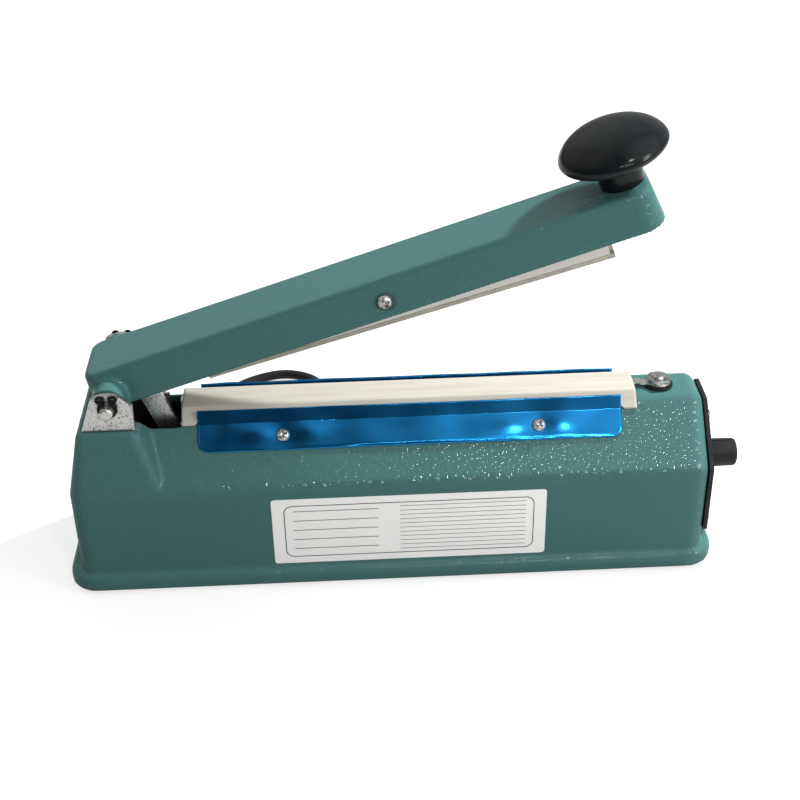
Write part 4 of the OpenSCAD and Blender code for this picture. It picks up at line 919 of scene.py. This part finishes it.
# Other pieces: the CAD shape with broken edges
for node, name, body, bevel in (
    ("hinge_bracket", "hinge_ears", "base", 0.35),
    ("hinge_pin", "hinge_pivot_pin", "base", 0.25),
    ("pin_clips", "pivot_clips", "base", 0.12),
    ("terminal_bush", "terminal_insulator", "base", 0.35),
    ("timer_panel", "end_panel", "base", 0.35),
    ("signal_lamp", "signal_lens", "base", 0.3),
    ("heating_ribbon", "sealing_ribbon", "base", 0.05),
    ("lever_strap", "arm_lever", "arm", 0.35),
    ("bar_holder", "press_bar", "pressure_bar", 0.45),
    ("silicone_strip", "press_rubber", "pressure_bar", 0.25),
    ("timer_knob", "timer_dial", "timer", 0.45),
):
    dress(refine(node, name, bevel), body, slot_of[node], node)

for name, node in nodes.items():
    node.data.materials.clear()
    node.data.materials.append(MATERIALS[slot_of[name]])


# Stage and light, in metres and watts
FLOOR_RADIUS = 1.2
FLOOR_GREY = (0.38, 0.38, 0.38, 1.0)
FLOOR_GLOW = 0.70
FLOOR_MIRRORED = 0.5
ROOM_MIRRORED = 0.08
WHITE = (1.0, 1.0, 1.0, 1.0)
# Glows of the room: which way, the cosines between which each grows, and its strengths there
ROOM_GLOWS = (
    ((0.80, 0.45, 0.15), (-0.2, 0.95), (0.06, 0.45)),
    ((0.62, -0.30, 0.80), (0.735, 0.92), (0.0, 0.9)),
    ((-0.60, 0.30, 0.74), (0.5, 0.95), (0.0, 0.65)),
    ((0.76, -0.64, -0.10), (0.60, 0.76), (0.0, 0.42)),
)
# Lamps: name, place, target, size, power, and whether gloss mirrors it
LAMPS = (
    ("key_light", (0.66, 0.50, 0.90), (0.0, 0.0, 0.08), (0.1, 0.1), 20.5, False),
    ("glint_lamp", (0.28, -0.78, 0.90), (0.03, -0.02, 0.07), (0.045, 0.045), 1.5, True),
    ("crease_lamp", (0.20, -0.965, 0.63), (0.06, -0.03, 0.06), (0.45, 0.014), 1.1, True),
    ("side_light", (0.52, -0.34, 0.36), (0.10, 0.0, 0.05), (0.12, 0.28), 1.3, True),
)


def make_floor():
    bm = bmesh.new()
    bmesh.ops.create_circle(bm, cap_ends=True, radius=FLOOR_RADIUS, segments=64)
    floor = from_bmesh("floor", bm)
    paper = Finish("floor_paper", Base_Color=FLOOR_GREY, Roughness=0.9, Specular_IOR_Level=0.1,
                   Emission_Color=WHITE)
    seen = paper.node("ShaderNodeLightPath").outputs
    straight = paper.math("MAXIMUM", seen["Is Camera Ray"], seen["Is Transmission Ray"])
    mirrored = paper.math("MULTIPLY", seen["Is Glossy Ray"], FLOOR_MIRRORED)
    shown = paper.math("MAXIMUM", straight, mirrored)
    paper.feed(paper.shader, "Emission_Strength", paper.math("MULTIPLY", shown, FLOOR_GLOW))
    floor.data.materials.append(paper.material)


def make_world():
    """Dim room, brighter at the right, with a bright patch up in front and softer ones around."""
    world = bpy.data.worlds.new("studio")
    scene.world = world
    world.use_nodes = True
    tree = world.node_tree
    background = tree.nodes["Background"]
    background.inputs["Color"].default_value = WHITE
    way = tree.nodes.new("ShaderNodeTexCoord").outputs["Generated"]

    def glow(towards, reach, strength):
        dot = tree.nodes.new("ShaderNodeVectorMath")
        dot.operation = "DOT_PRODUCT"
        dot.inputs[1].default_value = Vector(towards).normalized()
        tree.links.new(way, dot.inputs[0])
        fall = tree.nodes.new("ShaderNodeMapRange")
        for socket, value in zip(fall.inputs[1:5], (*reach, *strength)):
            socket.default_value = value
        tree.links.new(dot.outputs["Value"], fall.inputs["Value"])
        return fall.outputs[0]

    first, *others = [glow(*values) for values in ROOM_GLOWS]
    studio = first
    for light in others:
        studio = math_node(tree, "ADD", studio, light)
    seen = tree.nodes.new("ShaderNodeLightPath").outputs
    straight = math_node(tree, "MAXIMUM", seen["Is Camera Ray"], seen["Is Transmission Ray"])
    mirrored = math_node(tree, "MULTIPLY", seen["Is Glossy Ray"], ROOM_MIRRORED)
    shown = math_node(tree, "MAXIMUM", straight, mirrored)
    tree.links.new(math_node(tree, "MAXIMUM", shown, studio), background.inputs["Strength"])


def softbox(name, place, target, size, power, mirrored):
    light = bpy.data.lights.new(name, "AREA")
    light.shape = "RECTANGLE"
    light.size, light.size_y = size
    light.energy = power
    lamp = bpy.data.objects.new(name, light)
    lamp.location = place
    lamp.rotation_euler = (Vector(target) - Vector(place)).to_track_quat("-Z", "Y").to_euler()
    lamp.visible_camera = False
    lamp.visible_glossy = mirrored
    scene.collection.objects.link(lamp)


make_floor()
make_world()
for values in LAMPS:
    softbox(*values)
